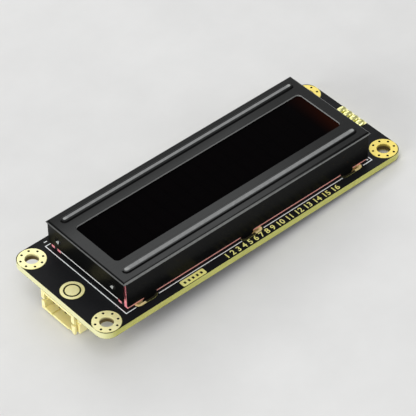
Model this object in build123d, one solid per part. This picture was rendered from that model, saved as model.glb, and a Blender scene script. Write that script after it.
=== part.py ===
from build123d import *
import os
from math import cos, pi, sin

# Character display module, 16 columns by 2 rows, with a socket for a four-wire lead.
# Millimetres. The origin is the middle of the four-hole pattern on the board's underside.
# +X runs along the rows of characters from the socket end, +Y to their top, +Z out of the face.

# Circuit board
BOARD_LENGTH = 87.0
BOARD_WIDTH = 32.0
BOARD_THICKNESS = 1.6
BOARD_CORNER_RADIUS = 3.0
MASK_THICKNESS = 0.04
COPPER_THICKNESS = 0.06
PRINT_THICKNESS = 0.03
MASK_GAP = 0.08

# Mounting holes, each with a plated land and a ring of small plated holes
HOLE_PITCH_X = 80.5
HOLE_PITCH_Y = 25.3
HOLE_RADIUS = 1.6
PLATING = 0.05
LAND_RADIUS = 3.2
RING_HOLE_COUNT = 8
RING_HOLE_RADIUS = 0.32
RING_HOLE_SIDES = 6
RING_CIRCLE_RADIUS = 2.52
ROUND_SIDES = 28
SPOT_SIDES = 8

# Pressed and folded steel bezel
BEZEL_LENGTH = 71.1
BEZEL_WIDTH = 26.4
BEZEL_TOP_Z = 9.85
SHEET = 0.4
FOLD_FACET = 0.57
LONG_WALL_BOTTOM_Z = 2.5
END_WALL_BOTTOM_Z = 3.95
CORNER_NOTCH = 0.75
WINDOW_LENGTH = 64.9
WINDOW_WIDTH = 14.2
WINDOW_CORNER_RADIUS = 1.1
RIB_OFFSET_Y = 10.32
RIB_LENGTH = 67.1
RIB_WIDTH = 2.16
RIB_STEPS = ((0.0, 0.0), (0.34, 0.28), (0.74, 0.42))
DIMPLE_Y = 9.1
DIMPLE_Z = 6.5
DIMPLE_RADIUS = 1.15
DIMPLE_FLOOR_RADIUS = 0.4
DIMPLE_DEPTH = 0.35
DIMPLE_SIDES = 8

# Twisted tabs that hold the bezel, and the plated slots that they pass through
SLOT_PITCH = 29.85
SLOT_LENGTH = 4.9
SLOT_WIDTH = 0.9
SLOT_LAND_RIM = 0.5
END_SIDES = 5
TAB_CENTRES_X = (-28.5, -1.1, 28.6)
TAB_WIDTH = 2.0
TAB_SHOULDER_WIDTH = 3.2
TAB_STRAIGHT_Z = -0.1
TAB_TIP_Z = -1.1
TAB_TWIST_DEG = 28.0

# Glass cell, from the face inwards
POLARISER_THICKNESS = 0.2
POLARISER_LENGTH = 67.0
POLARISER_WIDTH = 16.6
GLASS_THICKNESS = 1.1
GLASS_LENGTH = 68.8
FRONT_GLASS_WIDTH = 25.0
REAR_GLASS_WIDTH = 19.2
SEAL_THICKNESS = 0.05
SEAL_WIDTH = 1.0
SEAL_EDGE = 0.4
SEAL_FILL_GAP = 3.0

# Backlight
DIFFUSER_THICKNESS = 0.3
GUIDE_END_GAP = 1.9
GUIDE_WEDGE_LENGTH = 12.0
GUIDE_WEDGE_RISE = 0.5
TRAY_FIT_GAP = 0.2
REFLECTOR_THICKNESS = 0.15
FRAME_LENGTH = 69.4
FRAME_WIDTH = 19.4
FRAME_WALL = 1.0
FRAME_BOTTOM_Z = 2.24
FRAME_FLOOR = 1.0
FRAME_FOOT_RADIUS = 1.2
FRAME_FOOT_SIDES = 8
FRAME_FOOT_X = 28.0
FRAME_FOOT_Y = 7.0
LED_BOARD_WIDTH = 14.6
LED_BOARD_HEIGHT = 2.8
LED_BOARD_THICKNESS = 0.4
LED_COUNT = 3
LED_PITCH = 5.0
LED_LENGTH = 3.0
LED_HEIGHT = 1.4
LED_DEPTH = 1.1
LED_RISE = 0.8
LED_WINDOW_RIM = 0.27
LED_WINDOW_DEPTH = 0.2
LEAD_COUNT = 4
LEAD_PITCH = 2.0
LEAD_WIDTH = 0.8
LEAD_THICKNESS = 0.25
LEAD_START_INSET = 0.85
LEAD_SLOT_GAP = 0.05
LEAD_SLOT_HEIGHT = 1.0
LEAD_EXIT_Z = 2.86
LEAD_BEND_X = 39.3
LEAD_TIP_X = 42.3
LEAD_PAD_START_X = 39.0
LEAD_PAD_END_X = BOARD_LENGTH / 2
LEAD_PAD_WIDTH = 1.8
LEAD_STEP = 0.8
LEAD_STEP_SHIFT = 0.12
SOLDER_LENGTH = 3.0
SOLDER_FOOT_INSET = 0.03
SOLDER_START_X = 40.35
SOLDER_HEIGHT = 1.05
SOLDER_CREST_WIDTH = 0.5
SOLDER_SHOULDER = (0.62, 0.7)
SOLDER_END_SLOPE = 0.35

# Layered rubber strips that join the board to the glass
STRIP_LENGTH = 69.2
STRIP_OUTER_Y = 12.8
FOAM_WIDTH = 1.05
CORE_WIDTH = 0.95
FINGER_COUNT = 20
FINGER_PITCH = 3.2
FINGER_WIDTH = 1.0
FINGER_THICKNESS = 0.02

# Printed and gold fields on the board's face
PRINT_LINE = 0.21
OUTLINE_LENGTH = 71.4
OUTLINE_WIDTH = 27.3
EMBLEM_X = -39.8
EMBLEM_Y = -0.6
EMBLEM_RADIUS = 2.65
LABEL_X = -18.25
LABEL_Y = -14.95
LABEL_LENGTH = 6.5
LABEL_WIDTH = 1.7
LABEL_CORNER_RADIUS = 0.4
LABEL_OPENING_PITCH = 1.15
LABEL_OPENING_LENGTH = 0.6
LABEL_OPENING_WIDTH = 0.75
ROUNDEL_GROOVE_OUTER = 2.0
ROUNDEL_GROOVE_INNER = 1.55
CORNER_HOOK = 1.1
CORNER_DOT_RADIUS = 0.22
CORNER_DOT_INSET = 0.75
DASH_X = (-35.1, -34.5)
DASH_Y = 14.77

# Side-entry socket, soldered to the underside
SOCKET_MOUTH_X = -43.6
SOCKET_HEIGHT = 5.55
SOCKET_DEPTH = 7.4
SOCKET_BODY_WIDTH = 10.4
SOCKET_LIP_WIDTH = 11.2
SOCKET_LIP_DEPTH = 0.55
SOCKET_EAR_WIDTH = 12.2
SOCKET_EAR_START = 1.05
SOCKET_EAR_LENGTH = 4.6
SOCKET_WALL = 0.65
SOCKET_CAVITY_DEPTH = 6.1
SOCKET_PIN_COUNT = 4
SOCKET_PIN_PITCH = 2.0
SOCKET_PIN_SIZE = 0.5
SOCKET_PIN_TIP = 1.2
SOCKET_PIN_Z = -3.05
SOCKET_PIN_CHAMFER = 0.12
SOCKET_PIN_HEEL = 0.5
SOCKET_PIN_FOOT = 1.9
SIDE_SLOT_DEPTH = 1.4
SIDE_SLOT_HEIGHT = 0.7
KEY_NOTCH_Y = (-4.75, -3.4)
KEY_NOTCH_DEPTH = 2.2
KEY_NOTCH_HEIGHT = 0.4
FLOOR_GROOVE_Y = 2.0
FLOOR_GROOVE_DEPTH = 0.35
FLOOR_GROOVE_WIDTH = 0.45
FLOOR_GROOVE_END = 4.2
SOLDER_TAB_START = 2.25
SOLDER_TAB_LENGTH = 2.2
SOLDER_TAB_FOOT = 1.5
SOLDER_TAB_THICKNESS = 0.3
SOLDER_TAB_BOTTOM_Z = -3.0
PAD_MARGIN = 0.2

# Controllers under resin, and the small parts on the underside
CONTROLLER_X = -9.0
CONTROLLER_RADIUS = 6.2
DRIVER_X = 14.0
DRIVER_RADIUS = 5.2
RESIN_HEIGHT = 1.5
RESIN_BANDS = 4
RESIN_SIDES = 24
CHIP_LENGTH = 1.6
CHIP_WIDTH = 0.8
CHIP_CAP = 0.3
RESISTOR_ROW_LEFT = [(-30.0 + 2.4 * k, -8.0) for k in range(6)]
RESISTOR_ROW_RIGHT = [(22.5 + 2.4 * k, 8.4) for k in range(4)]
RESISTOR_PLACES = RESISTOR_ROW_LEFT + RESISTOR_ROW_RIGHT
CAPACITOR_PLACES = [(-30.0, 1.5), (-30.0, 4.0), (-16.6, 8.4), (4.0, 8.6), (24.0, -6.5), (27.0, -6.5)]
RESISTOR_HEIGHT = 0.45
CAPACITOR_HEIGHT = 0.85

# Lamp driver on the underside
DRIVER_IC_X = -24.0
DRIVER_IC_Y = 6.0
DRIVER_IC_LENGTH = 4.9
DRIVER_IC_WIDTH = 3.9
DRIVER_IC_HEIGHT = 1.35
DRIVER_IC_STANDOFF = 0.1
DRIVER_IC_LEADS = 4
DRIVER_IC_LEAD_PITCH = 1.27
DRIVER_IC_LEAD_THICKNESS = 0.2
DRIVER_IC_LEAD_WIDTH = 0.4
DRIVER_IC_LEAD_KNEE = 0.45
DRIVER_IC_LEAD_REACH = 1.05
DRIVER_IC_EDGE = 0.25
DRIVER_IC_DIMPLE = (-1.7, -1.2, 0.35, 0.1)

BOARD_TOP = BOARD_THICKNESS
MASK_TOP = BOARD_TOP + MASK_THICKNESS
SHEET_INNER_Z = BEZEL_TOP_Z - SHEET
FRONT_GLASS_TOP = SHEET_INNER_Z - POLARISER_THICKNESS
FRONT_GLASS_BOTTOM = FRONT_GLASS_TOP - GLASS_THICKNESS
REAR_GLASS_TOP = FRONT_GLASS_BOTTOM - SEAL_THICKNESS
REAR_GLASS_BOTTOM = REAR_GLASS_TOP - GLASS_THICKNESS
DIFFUSER_TOP = REAR_GLASS_BOTTOM - POLARISER_THICKNESS
GUIDE_TOP = DIFFUSER_TOP - DIFFUSER_THICKNESS
FRAME_FLOOR_TOP = FRAME_BOTTOM_Z + FRAME_FLOOR
GUIDE_BOTTOM = FRAME_FLOOR_TOP + REFLECTOR_THICKNESS
TRAY_LENGTH = FRAME_LENGTH - 2 * FRAME_WALL
TRAY_WIDTH = FRAME_WIDTH - 2 * FRAME_WALL
SLOT_Y = (BEZEL_WIDTH - SHEET) / 2
LEAD_ROWS = [(k - (LEAD_COUNT - 1) / 2) * LEAD_PITCH for k in range(LEAD_COUNT)]
PIN_ROWS = [(k - (SOCKET_PIN_COUNT - 1) / 2) * SOCKET_PIN_PITCH for k in range(SOCKET_PIN_COUNT)]
HOLE_PLACES = [
    (sx * HOLE_PITCH_X / 2, sy * HOLE_PITCH_Y / 2) for sx in (-1, 1) for sy in (-1, 1)
]
SLOT_PLACES = [(k * SLOT_PITCH, side * SLOT_Y) for side in (-1, 1) for k in (-1, 0, 1)]


def block(x0, x1, y0, y1, z0, z1):
    """A box between two opposite corners."""
    middle = ((x0 + x1) / 2, (y0 + y1) / 2, (z0 + z1) / 2)
    return Pos(*middle) * Box(x1 - x0, y1 - y0, z1 - z0)


def plate(sketch, z0, z1):
    """A flat sketch made solid from z0 up to z1."""
    return Pos(0, 0, z0) * extrude(sketch, z1 - z0)


def centred(length, width, z0, z1):
    """A box centred on the display, from z0 up to z1."""
    return block(-length / 2, length / 2, -width / 2, width / 2, z0, z1)


def post(x, y, radius, z0, z1):
    """A round post from z0 up to z1."""
    return Pos(x, y, (z0 + z1) / 2) * Cylinder(radius, z1 - z0)


def disc_sketch(x, y, radius):
    """A round outline of many short sides, for lands and lacquer that no screw bears on."""
    return Pos(x, y) * RegularPolygon(radius, ROUND_SIDES)


def round_points(radius, sides):
    """The corners of a many-sided outline round zero."""
    turn = 2 * pi / sides
    return [(radius * cos(k * turn), radius * sin(k * turn)) for k in range(sides)]


def faceted(rings):
    """A solid through level rings of corners, with flat sides wherever two rings are parallel."""
    outlines = [rings[0], rings[-1]]
    for low, high in zip(rings, rings[1:]):
        for k in range(len(low)):
            after = (k + 1) % len(low)
            outlines.append([low[k], low[after], high[after]])
            outlines.append([low[k], high[after], high[k]])
    faces = [Face(Wire.make_polygon([Vector(*p) for p in points])) for points in outlines]
    return Solid(Shell(faces)).clean()


def ring_sketch(x, y, radius):
    """The small holes round one mounting hole, six-sided so that they stay light."""
    drill = RegularPolygon(radius, RING_HOLE_SIDES)
    around = PolarLocations(RING_CIRCLE_RADIUS, RING_HOLE_COUNT, start_angle=180 / RING_HOLE_COUNT)
    return Pos(x, y) * (Sketch() + around * drill)


def board_sketch():
    return RectangleRounded(BOARD_LENGTH, BOARD_WIDTH, BOARD_CORNER_RADIUS)


def long_points(x, y, length, width):
    """The corners of a long outline along X, with each round end in a few short sides."""
    radius = width / 2
    reach = length / 2 - radius
    turn = pi / END_SIDES
    right = [k * turn - pi / 2 for k in range(END_SIDES + 1)]
    points = [(x + reach + radius * cos(a), y + radius * sin(a)) for a in right]
    points += [(x - reach - radius * cos(a), y - radius * sin(a)) for a in right]
    return points


def slot_sketch(x, y, grow):
    """A tab's slot, grown all round."""
    points = long_points(x, y, SLOT_LENGTH + 2 * grow, SLOT_WIDTH + 2 * grow)
    return Polygon(*points, align=None)


def lead_pad_sketch(y):
    length = LEAD_PAD_END_X - LEAD_PAD_START_X
    middle = (LEAD_PAD_START_X + LEAD_PAD_END_X) / 2
    return Pos(middle, y) * Rectangle(length, LEAD_PAD_WIDTH)


def label_sketch(grow):
    width = LABEL_WIDTH + 2 * grow
    length = LABEL_LENGTH + 2 * grow
    return Pos(LABEL_X, LABEL_Y) * RectangleRounded(length, width, LABEL_CORNER_RADIUS)


def label_openings(inset):
    """The row of square openings in the label, each drawn in all round."""
    opening = Rectangle(LABEL_OPENING_LENGTH - 2 * inset, LABEL_OPENING_WIDTH - 2 * inset)
    places = [Pos(LABEL_X + LABEL_OPENING_PITCH * k, LABEL_Y) for k in range(-2, 3)]
    return Sketch() + [place * opening for place in places]


def groove_sketch(inset):
    """The roundel's groove, drawn in on both sides."""
    groove = disc_sketch(EMBLEM_X, EMBLEM_Y, ROUNDEL_GROOVE_OUTER - inset)
    return groove - disc_sketch(EMBLEM_X, EMBLEM_Y, ROUNDEL_GROOVE_INNER + inset)


def circuit_board():
    outline = board_sketch()
    for x, y in HOLE_PLACES:
        outline -= Pos(x, y) * Circle(HOLE_RADIUS + PLATING)
        outline -= ring_sketch(x, y, RING_HOLE_RADIUS + PLATING)
    for x, y in SLOT_PLACES:
        outline -= slot_sketch(x, y, PLATING)
    return plate(outline, 0, BOARD_THICKNESS)


def solder_mask(top):
    """Lacquer on one face, opened round the bare lands and kept inside the gold figures."""
    outline = board_sketch()
    for x, y in HOLE_PLACES:
        outline -= disc_sketch(x, y, LAND_RADIUS + MASK_GAP)
    for x, y in SLOT_PLACES:
        outline -= slot_sketch(x, y, SLOT_LAND_RIM + MASK_GAP)
    if top:
        outline -= disc_sketch(EMBLEM_X, EMBLEM_Y, EMBLEM_RADIUS + MASK_GAP)
        outline -= label_sketch(MASK_GAP)
        outline += groove_sketch(MASK_GAP)
        outline += label_openings(MASK_GAP)
        for y in LEAD_ROWS:
            outline -= lead_pad_sketch(y)
        return plate(outline, BOARD_TOP, MASK_TOP)
    return plate(outline, -MASK_THICKNESS, 0)


def plated_mounting_holes():
    """Top land, bottom land and barrel of each mounting hole, pierced by its ring of holes."""
    solids = []
    for x, y in HOLE_PLACES:
        land = disc_sketch(x, y, LAND_RADIUS)
        spool = plate(land, BOARD_TOP, BOARD_TOP + COPPER_THICKNESS)
        spool += plate(land, -COPPER_THICKNESS, 0)
        spool += post(x, y, HOLE_RADIUS + PLATING, 0, BOARD_TOP)
        spool += plate(ring_sketch(x, y, RING_HOLE_RADIUS + PLATING), 0, BOARD_TOP)
        spool -= post(x, y, HOLE_RADIUS, -1, BOARD_TOP + 1)
        spool -= plate(ring_sketch(x, y, RING_HOLE_RADIUS), -1, BOARD_TOP + 1)
        solids.append(spool)
    return Compound(children=solids)


def plated_tab_slots():
    solids = []
    for x, y in SLOT_PLACES:
        rim = slot_sketch(x, y, SLOT_LAND_RIM)
        sleeve = plate(rim, BOARD_TOP, BOARD_TOP + COPPER_THICKNESS)
        sleeve += plate(rim, -COPPER_THICKNESS, 0)
        sleeve += plate(slot_sketch(x, y, PLATING), 0, BOARD_TOP)
        sleeve -= plate(slot_sketch(x, y, 0), -1, BOARD_TOP + 1)
        solids.append(sleeve)
    return Compound(children=solids)


def gold_roundel():
    """A plain bare-gold disc inside a plain ring, near the socket end."""
    gold_top = BOARD_TOP + COPPER_THICKNESS
    disc = disc_sketch(EMBLEM_X, EMBLEM_Y, ROUNDEL_GROOVE_INNER)
    ring = disc_sketch(EMBLEM_X, EMBLEM_Y, EMBLEM_RADIUS)
    ring -= disc_sketch(EMBLEM_X, EMBLEM_Y, ROUNDEL_GROOVE_OUTER)
    return Compound(children=[plate(part, BOARD_TOP, gold_top) for part in (disc, ring)])


def gold_label():
    """A plain bare-gold bar with a row of square openings."""
    bar = label_sketch(0) - label_openings(0)
    return plate(bar, BOARD_TOP, BOARD_TOP + COPPER_THICKNESS)


def backlight_pads():
    pads = [plate(lead_pad_sketch(y), BOARD_TOP, BOARD_TOP + COPPER_THICKNESS) for y in LEAD_ROWS]
    return Compound(children=pads)


def contact_fingers():
    """Gold fingers on the board that the layered strips stand on."""
    middle = STRIP_OUTER_Y - FOAM_WIDTH - CORE_WIDTH / 2
    fingers = []
    for side in (-1, 1):
        for k in range(FINGER_COUNT):
            x = (k - (FINGER_COUNT - 1) / 2) * FINGER_PITCH
            half = FINGER_WIDTH / 2
            y0 = side * middle - CORE_WIDTH / 2
            y1 = side * middle + CORE_WIDTH / 2
            fingers.append(block(x - half, x + half, y0, y1, MASK_TOP, MASK_TOP + FINGER_THICKNESS))
    return Compound(children=fingers)


def print_line(x0, y0, x1, y1):
    """One stroke of the white outline, with square ends."""
    half = PRINT_LINE / 2
    low = (min(x0, x1) - half, min(y0, y1) - half)
    high = (max(x0, x1) + half, max(y0, y1) + half)
    return block(low[0], high[0], low[1], high[1], MASK_TOP, MASK_TOP + PRINT_THICKNESS)


def silkscreen_outline():
    """White outline of the display, broken at the slot lands, with a hook, a dot and a dash."""
    right = OUTLINE_LENGTH / 2
    top = OUTLINE_WIDTH / 2
    gap = SLOT_LENGTH / 2 + SLOT_LAND_RIM + MASK_GAP + PRINT_LINE
    stops = [-right]
    for k in (-1, 0, 1):
        stops += [k * SLOT_PITCH - gap, k * SLOT_PITCH + gap]
    stops.append(right)
    strokes = [print_line(-right, -top, -right, top)]
    strokes.append(print_line(right, -top, right, -top + CORNER_HOOK))
    strokes.append(print_line(right, -top + 2 * CORNER_HOOK, right, top))
    for y in (-top, top):
        for k in range(0, len(stops), 2):
            strokes.append(print_line(stops[k], y, stops[k + 1], y))
    outline = strokes[0]
    for stroke in strokes[1:]:
        outline += stroke
    dot_x = right - CORNER_DOT_INSET
    dot_y = -top + CORNER_DOT_INSET
    spot = Pos(dot_x, dot_y) * RegularPolygon(CORNER_DOT_RADIUS, SPOT_SIDES)
    dot = plate(spot, MASK_TOP, MASK_TOP + PRINT_THICKNESS)
    dash = print_line(DASH_X[0], DASH_Y, DASH_X[1], DASH_Y)
    return Compound(children=list(outline.solids()) + [dot, dash])


def rib(side, z):
    """One embossed rib, stepped in from its foot to its narrow crest, with round ends."""
    y = side * RIB_OFFSET_Y
    rings = []
    for inset, rise in RIB_STEPS:
        outline = long_points(0, y, RIB_LENGTH - 2 * inset, RIB_WIDTH - 2 * inset)
        rings.append([(px, py, z + rise) for px, py in outline])
    return faceted(rings)


def end_dimple(sx, sy, wall_x):
    """One dimple pressed into an end wall from the given face of the sheet."""
    rings = []
    for radius, depth in ((DIMPLE_RADIUS, 0), (DIMPLE_FLOOR_RADIUS, DIMPLE_DEPTH)):
        outline = round_points(radius, DIMPLE_SIDES)
        rings.append([(sx * (wall_x - depth), sy * DIMPLE_Y + a, DIMPLE_Z + b) for a, b in outline])
    return faceted(rings)


def folded_shell(length, width, top, facet):
    """A block with its four top edges cut to the facet of the fold."""
    body = centred(length, width, LONG_WALL_BOTTOM_Z, top)
    upper = body.faces().sort_by(Axis.Z)[-1].edges()
    return chamfer(upper, facet)


def twisted_blade(x, y, turn_deg):
    """The tab's end, turned between two levels."""
    half = TAB_WIDTH / 2
    gauge = SHEET / 2
    corners = [Vector(-half, -gauge), Vector(half, -gauge), Vector(half, gauge), Vector(-half, gauge)]
    top = [c + Vector(x, y, TAB_STRAIGHT_Z) for c in corners]
    tip = [c.rotate(Axis.Z, turn_deg) + Vector(x, y, TAB_TIP_Z) for c in corners]
    return faceted([tip, top])


def bezel_tab(x, side):
    """A shouldered wall tab: it stands on the land, drops through the slot and is twisted below."""
    y = side * SLOT_Y
    y0 = y - SHEET / 2
    y1 = y + SHEET / 2
    half = TAB_WIDTH / 2
    shoulder_half = TAB_SHOULDER_WIDTH / 2
    land_top = BOARD_TOP + COPPER_THICKNESS
    shoulder = block(x - shoulder_half, x + shoulder_half, y0, y1, land_top, LONG_WALL_BOTTOM_Z)
    drop = block(x - half, x + half, y0, y1, TAB_STRAIGHT_Z, LONG_WALL_BOTTOM_Z)
    return shoulder + drop + twisted_blade(x, y, side * TAB_TWIST_DEG)


def bezel():
    """The folded can: window, ribs, faceted folds, open corners, end dimples and six tabs."""
    outer = folded_shell(BEZEL_LENGTH, BEZEL_WIDTH, BEZEL_TOP_Z, FOLD_FACET)
    inner = folded_shell(
        BEZEL_LENGTH - 2 * SHEET, BEZEL_WIDTH - 2 * SHEET, SHEET_INNER_Z, FOLD_FACET - SHEET / 2
    )
    can = outer
    for side in (-1, 1):
        can += rib(side, BEZEL_TOP_Z)
    can -= inner
    for side in (-1, 1):
        can -= rib(side, SHEET_INNER_Z)
    window = RectangleRounded(WINDOW_LENGTH, WINDOW_WIDTH, WINDOW_CORNER_RADIUS)
    can -= plate(window, SHEET_INNER_Z - 1, BEZEL_TOP_Z + 1)
    notch_top = BEZEL_TOP_Z - FOLD_FACET
    for sx in (-1, 1):
        for sy in (-1, 1):
            corner = Pos(sx * BEZEL_LENGTH / 2, sy * BEZEL_WIDTH / 2, notch_top / 2)
            can -= corner * Box(2 * CORNER_NOTCH, 2 * CORNER_NOTCH, notch_top)
            can += end_dimple(sx, sy, BEZEL_LENGTH / 2 - SHEET)
            can -= end_dimple(sx, sy, BEZEL_LENGTH / 2)
        end_x = sx * BEZEL_LENGTH / 2
        reach = BEZEL_WIDTH / 2 - SHEET
        can -= block(end_x - 1, end_x + 1, -reach, reach, 0, END_WALL_BOTTOM_Z)
    for side in (-1, 1):
        for x in TAB_CENTRES_X:
            can += bezel_tab(x, side)
    return can


def front_polariser():
    return centred(POLARISER_LENGTH, POLARISER_WIDTH, FRONT_GLASS_TOP, SHEET_INNER_Z)


def front_glass():
    return centred(GLASS_LENGTH, FRONT_GLASS_WIDTH, FRONT_GLASS_BOTTOM, FRONT_GLASS_TOP)


def cell_seal():
    """Printed seal between the two glasses, with the filling gap in one end."""
    length = GLASS_LENGTH - 2 * SEAL_EDGE
    width = REAR_GLASS_WIDTH - 2 * SEAL_EDGE
    ring = Rectangle(length, width) - Rectangle(length - 2 * SEAL_WIDTH, width - 2 * SEAL_WIDTH)
    ring -= Pos(-length / 2, 0) * Rectangle(3 * SEAL_WIDTH, SEAL_FILL_GAP)
    return plate(ring, REAR_GLASS_TOP, FRONT_GLASS_BOTTOM)


def liquid_crystal():
    inset = 2 * (SEAL_EDGE + SEAL_WIDTH)
    return centred(
        GLASS_LENGTH - inset, REAR_GLASS_WIDTH - inset, REAR_GLASS_TOP, FRONT_GLASS_BOTTOM
    )


def rear_glass():
    return centred(GLASS_LENGTH, REAR_GLASS_WIDTH, REAR_GLASS_BOTTOM, REAR_GLASS_TOP)


def rear_polariser():
    return centred(POLARISER_LENGTH, POLARISER_WIDTH, DIFFUSER_TOP, REAR_GLASS_BOTTOM)


def light_diffuser():
    length = TRAY_LENGTH - 2 * TRAY_FIT_GAP
    return centred(length, TRAY_WIDTH - 2 * TRAY_FIT_GAP, GUIDE_TOP, DIFFUSER_TOP)


def light_guide():
    """Clear slab with a shallow wedge under the end that is far from the lamps."""
    left = -TRAY_LENGTH / 2 + TRAY_FIT_GAP
    right = TRAY_LENGTH / 2 - GUIDE_END_GAP
    half = TRAY_WIDTH / 2 - TRAY_FIT_GAP
    points = [
        (left, GUIDE_BOTTOM + GUIDE_WEDGE_RISE),
        (left + GUIDE_WEDGE_LENGTH, GUIDE_BOTTOM),
        (right, GUIDE_BOTTOM),
        (right, GUIDE_TOP),
        (left, GUIDE_TOP),
    ]
    profile = Plane.XZ * Polygon(*points, align=None)
    return extrude(profile, half, both=True)


def reflector_film():
    length = TRAY_LENGTH - 2 * TRAY_FIT_GAP
    return centred(length, TRAY_WIDTH - 2 * TRAY_FIT_GAP, FRAME_FLOOR_TOP, GUIDE_BOTTOM)


def backlight_frame():
    """White moulded tray on four feet, with slots in its end wall for the lamp leads."""
    tray = centred(FRAME_LENGTH, FRAME_WIDTH, FRAME_BOTTOM_Z, REAR_GLASS_BOTTOM)
    tray -= centred(TRAY_LENGTH, TRAY_WIDTH, FRAME_FLOOR_TOP, REAR_GLASS_BOTTOM + 1)
    foot = RegularPolygon(FRAME_FOOT_RADIUS, FRAME_FOOT_SIDES)
    for sx in (-1, 1):
        for sy in (-1, 1):
            place = Pos(sx * FRAME_FOOT_X, sy * FRAME_FOOT_Y)
            tray += plate(place * foot, MASK_TOP, FRAME_BOTTOM_Z)
    half = LEAD_WIDTH / 2 + LEAD_SLOT_GAP
    start = TRAY_LENGTH / 2 - LEAD_START_INSET - LEAD_SLOT_GAP
    end = FRAME_LENGTH / 2 + 1
    for y in LEAD_ROWS:
        tray -= block(start, end, y - half, y + half, LEAD_EXIT_Z, LEAD_EXIT_Z + LEAD_SLOT_HEIGHT)
    return tray


def led_board():
    back = TRAY_LENGTH / 2
    half = LED_BOARD_WIDTH / 2
    bottom = GUIDE_BOTTOM
    front = back - LED_BOARD_THICKNESS
    return block(front, back, -half, half, bottom, bottom + LED_BOARD_HEIGHT)


def led_packages():
    """Side-view lamps on their board, each with a shallow window towards the light guide."""
    face = TRAY_LENGTH / 2 - LED_BOARD_THICKNESS
    front = face - LED_DEPTH
    bottom = FRAME_FLOOR_TOP + LED_RISE
    top = bottom + LED_HEIGHT
    window_end = front + LED_WINDOW_DEPTH
    window_z = (bottom + LED_WINDOW_RIM, top - LED_WINDOW_RIM)
    lamps = []
    for k in range(LED_COUNT):
        middle = (k - (LED_COUNT - 1) / 2) * LED_PITCH
        y0 = middle - LED_LENGTH / 2
        y1 = middle + LED_LENGTH / 2
        lamp = block(front, face, y0, y1, bottom, top)
        lamp -= block(
            front - 1, window_end, y0 + LED_WINDOW_RIM, y1 - LED_WINDOW_RIM, window_z[0], window_z[1]
        )
        lamps.append(lamp)
    return Compound(children=lamps)


def backlight_leads():
    """Flat leads that leave under the end wall, step down and lie on their pads."""
    start = TRAY_LENGTH / 2 - LEAD_START_INSET
    low = BOARD_TOP + COPPER_THICKNESS
    foot_x = LEAD_BEND_X + LEAD_STEP
    points = [
        (start, LEAD_EXIT_Z),
        (LEAD_BEND_X, LEAD_EXIT_Z),
        (foot_x, low),
        (LEAD_TIP_X, low),
        (LEAD_TIP_X, low + LEAD_THICKNESS),
        (foot_x + LEAD_STEP_SHIFT, low + LEAD_THICKNESS),
        (LEAD_BEND_X + LEAD_STEP_SHIFT, LEAD_EXIT_Z + LEAD_THICKNESS),
        (start, LEAD_EXIT_Z + LEAD_THICKNESS),
    ]
    leads = []
    for y in LEAD_ROWS:
        profile = Plane.XZ * Polygon(*points, align=None)
        leads.append(Pos(0, y, 0) * extrude(profile, LEAD_WIDTH / 2, both=True))
    return Compound(children=leads)


def lead_solder():
    """Domed solder over each lead's foot."""
    low = BOARD_TOP + COPPER_THICKNESS
    foot = LEAD_PAD_WIDTH / 2 - SOLDER_FOOT_INSET
    half_dome = [(foot, low), (SOLDER_SHOULDER[0], low + SOLDER_SHOULDER[1])]
    half_dome.append((SOLDER_CREST_WIDTH / 2, low + SOLDER_HEIGHT))
    dome = half_dome + [(-y, z) for y, z in reversed(half_dome)]
    joints = []
    for y in LEAD_ROWS:
        ridge = extrude(Plane.YZ * Polygon(*dome, align=None), SOLDER_LENGTH)
        joint = Pos(SOLDER_START_X, y, 0) * ridge
        crest = joint.edges().filter_by(Axis.Y).group_by(Axis.Z)[-1]
        joint = chamfer(crest, SOLDER_END_SLOPE)
        half = LEAD_WIDTH / 2
        joint -= block(0, LEAD_TIP_X, y - half, y + half, low, low + LEAD_THICKNESS)
        joints.append(joint)
    return Compound(children=joints)


def strip_layer(side, near, far):
    """One layer of a rubber strip, between two distances from the display's middle."""
    half = STRIP_LENGTH / 2
    y0 = min(side * near, side * far)
    y1 = max(side * near, side * far)
    return block(-half, half, y0, y1, MASK_TOP + FINGER_THICKNESS, FRONT_GLASS_BOTTOM)


def strip_core(side):
    outer = STRIP_OUTER_Y - FOAM_WIDTH
    return strip_layer(side, outer - CORE_WIDTH, outer)


def strip_foam(side):
    outer = strip_layer(side, STRIP_OUTER_Y - FOAM_WIDTH, STRIP_OUTER_Y)
    core_inner = STRIP_OUTER_Y - FOAM_WIDTH - CORE_WIDTH
    inner = strip_layer(side, core_inner - FOAM_WIDTH, core_inner)
    return Compound(children=[outer, inner])


def resin_cap(x, radius):
    """A low cap of black resin poured over a bare chip, drawn in level by level."""
    turn = pi / 2 / (RESIN_BANDS + 0.5)
    rings = []
    for k in range(RESIN_BANDS + 1):
        outline = round_points(radius * cos(k * turn), RESIN_SIDES)
        z = -MASK_THICKNESS - RESIN_HEIGHT * sin(k * turn)
        rings.append([(x + a, b, z) for a, b in outline])
    return faceted(rings)


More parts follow.
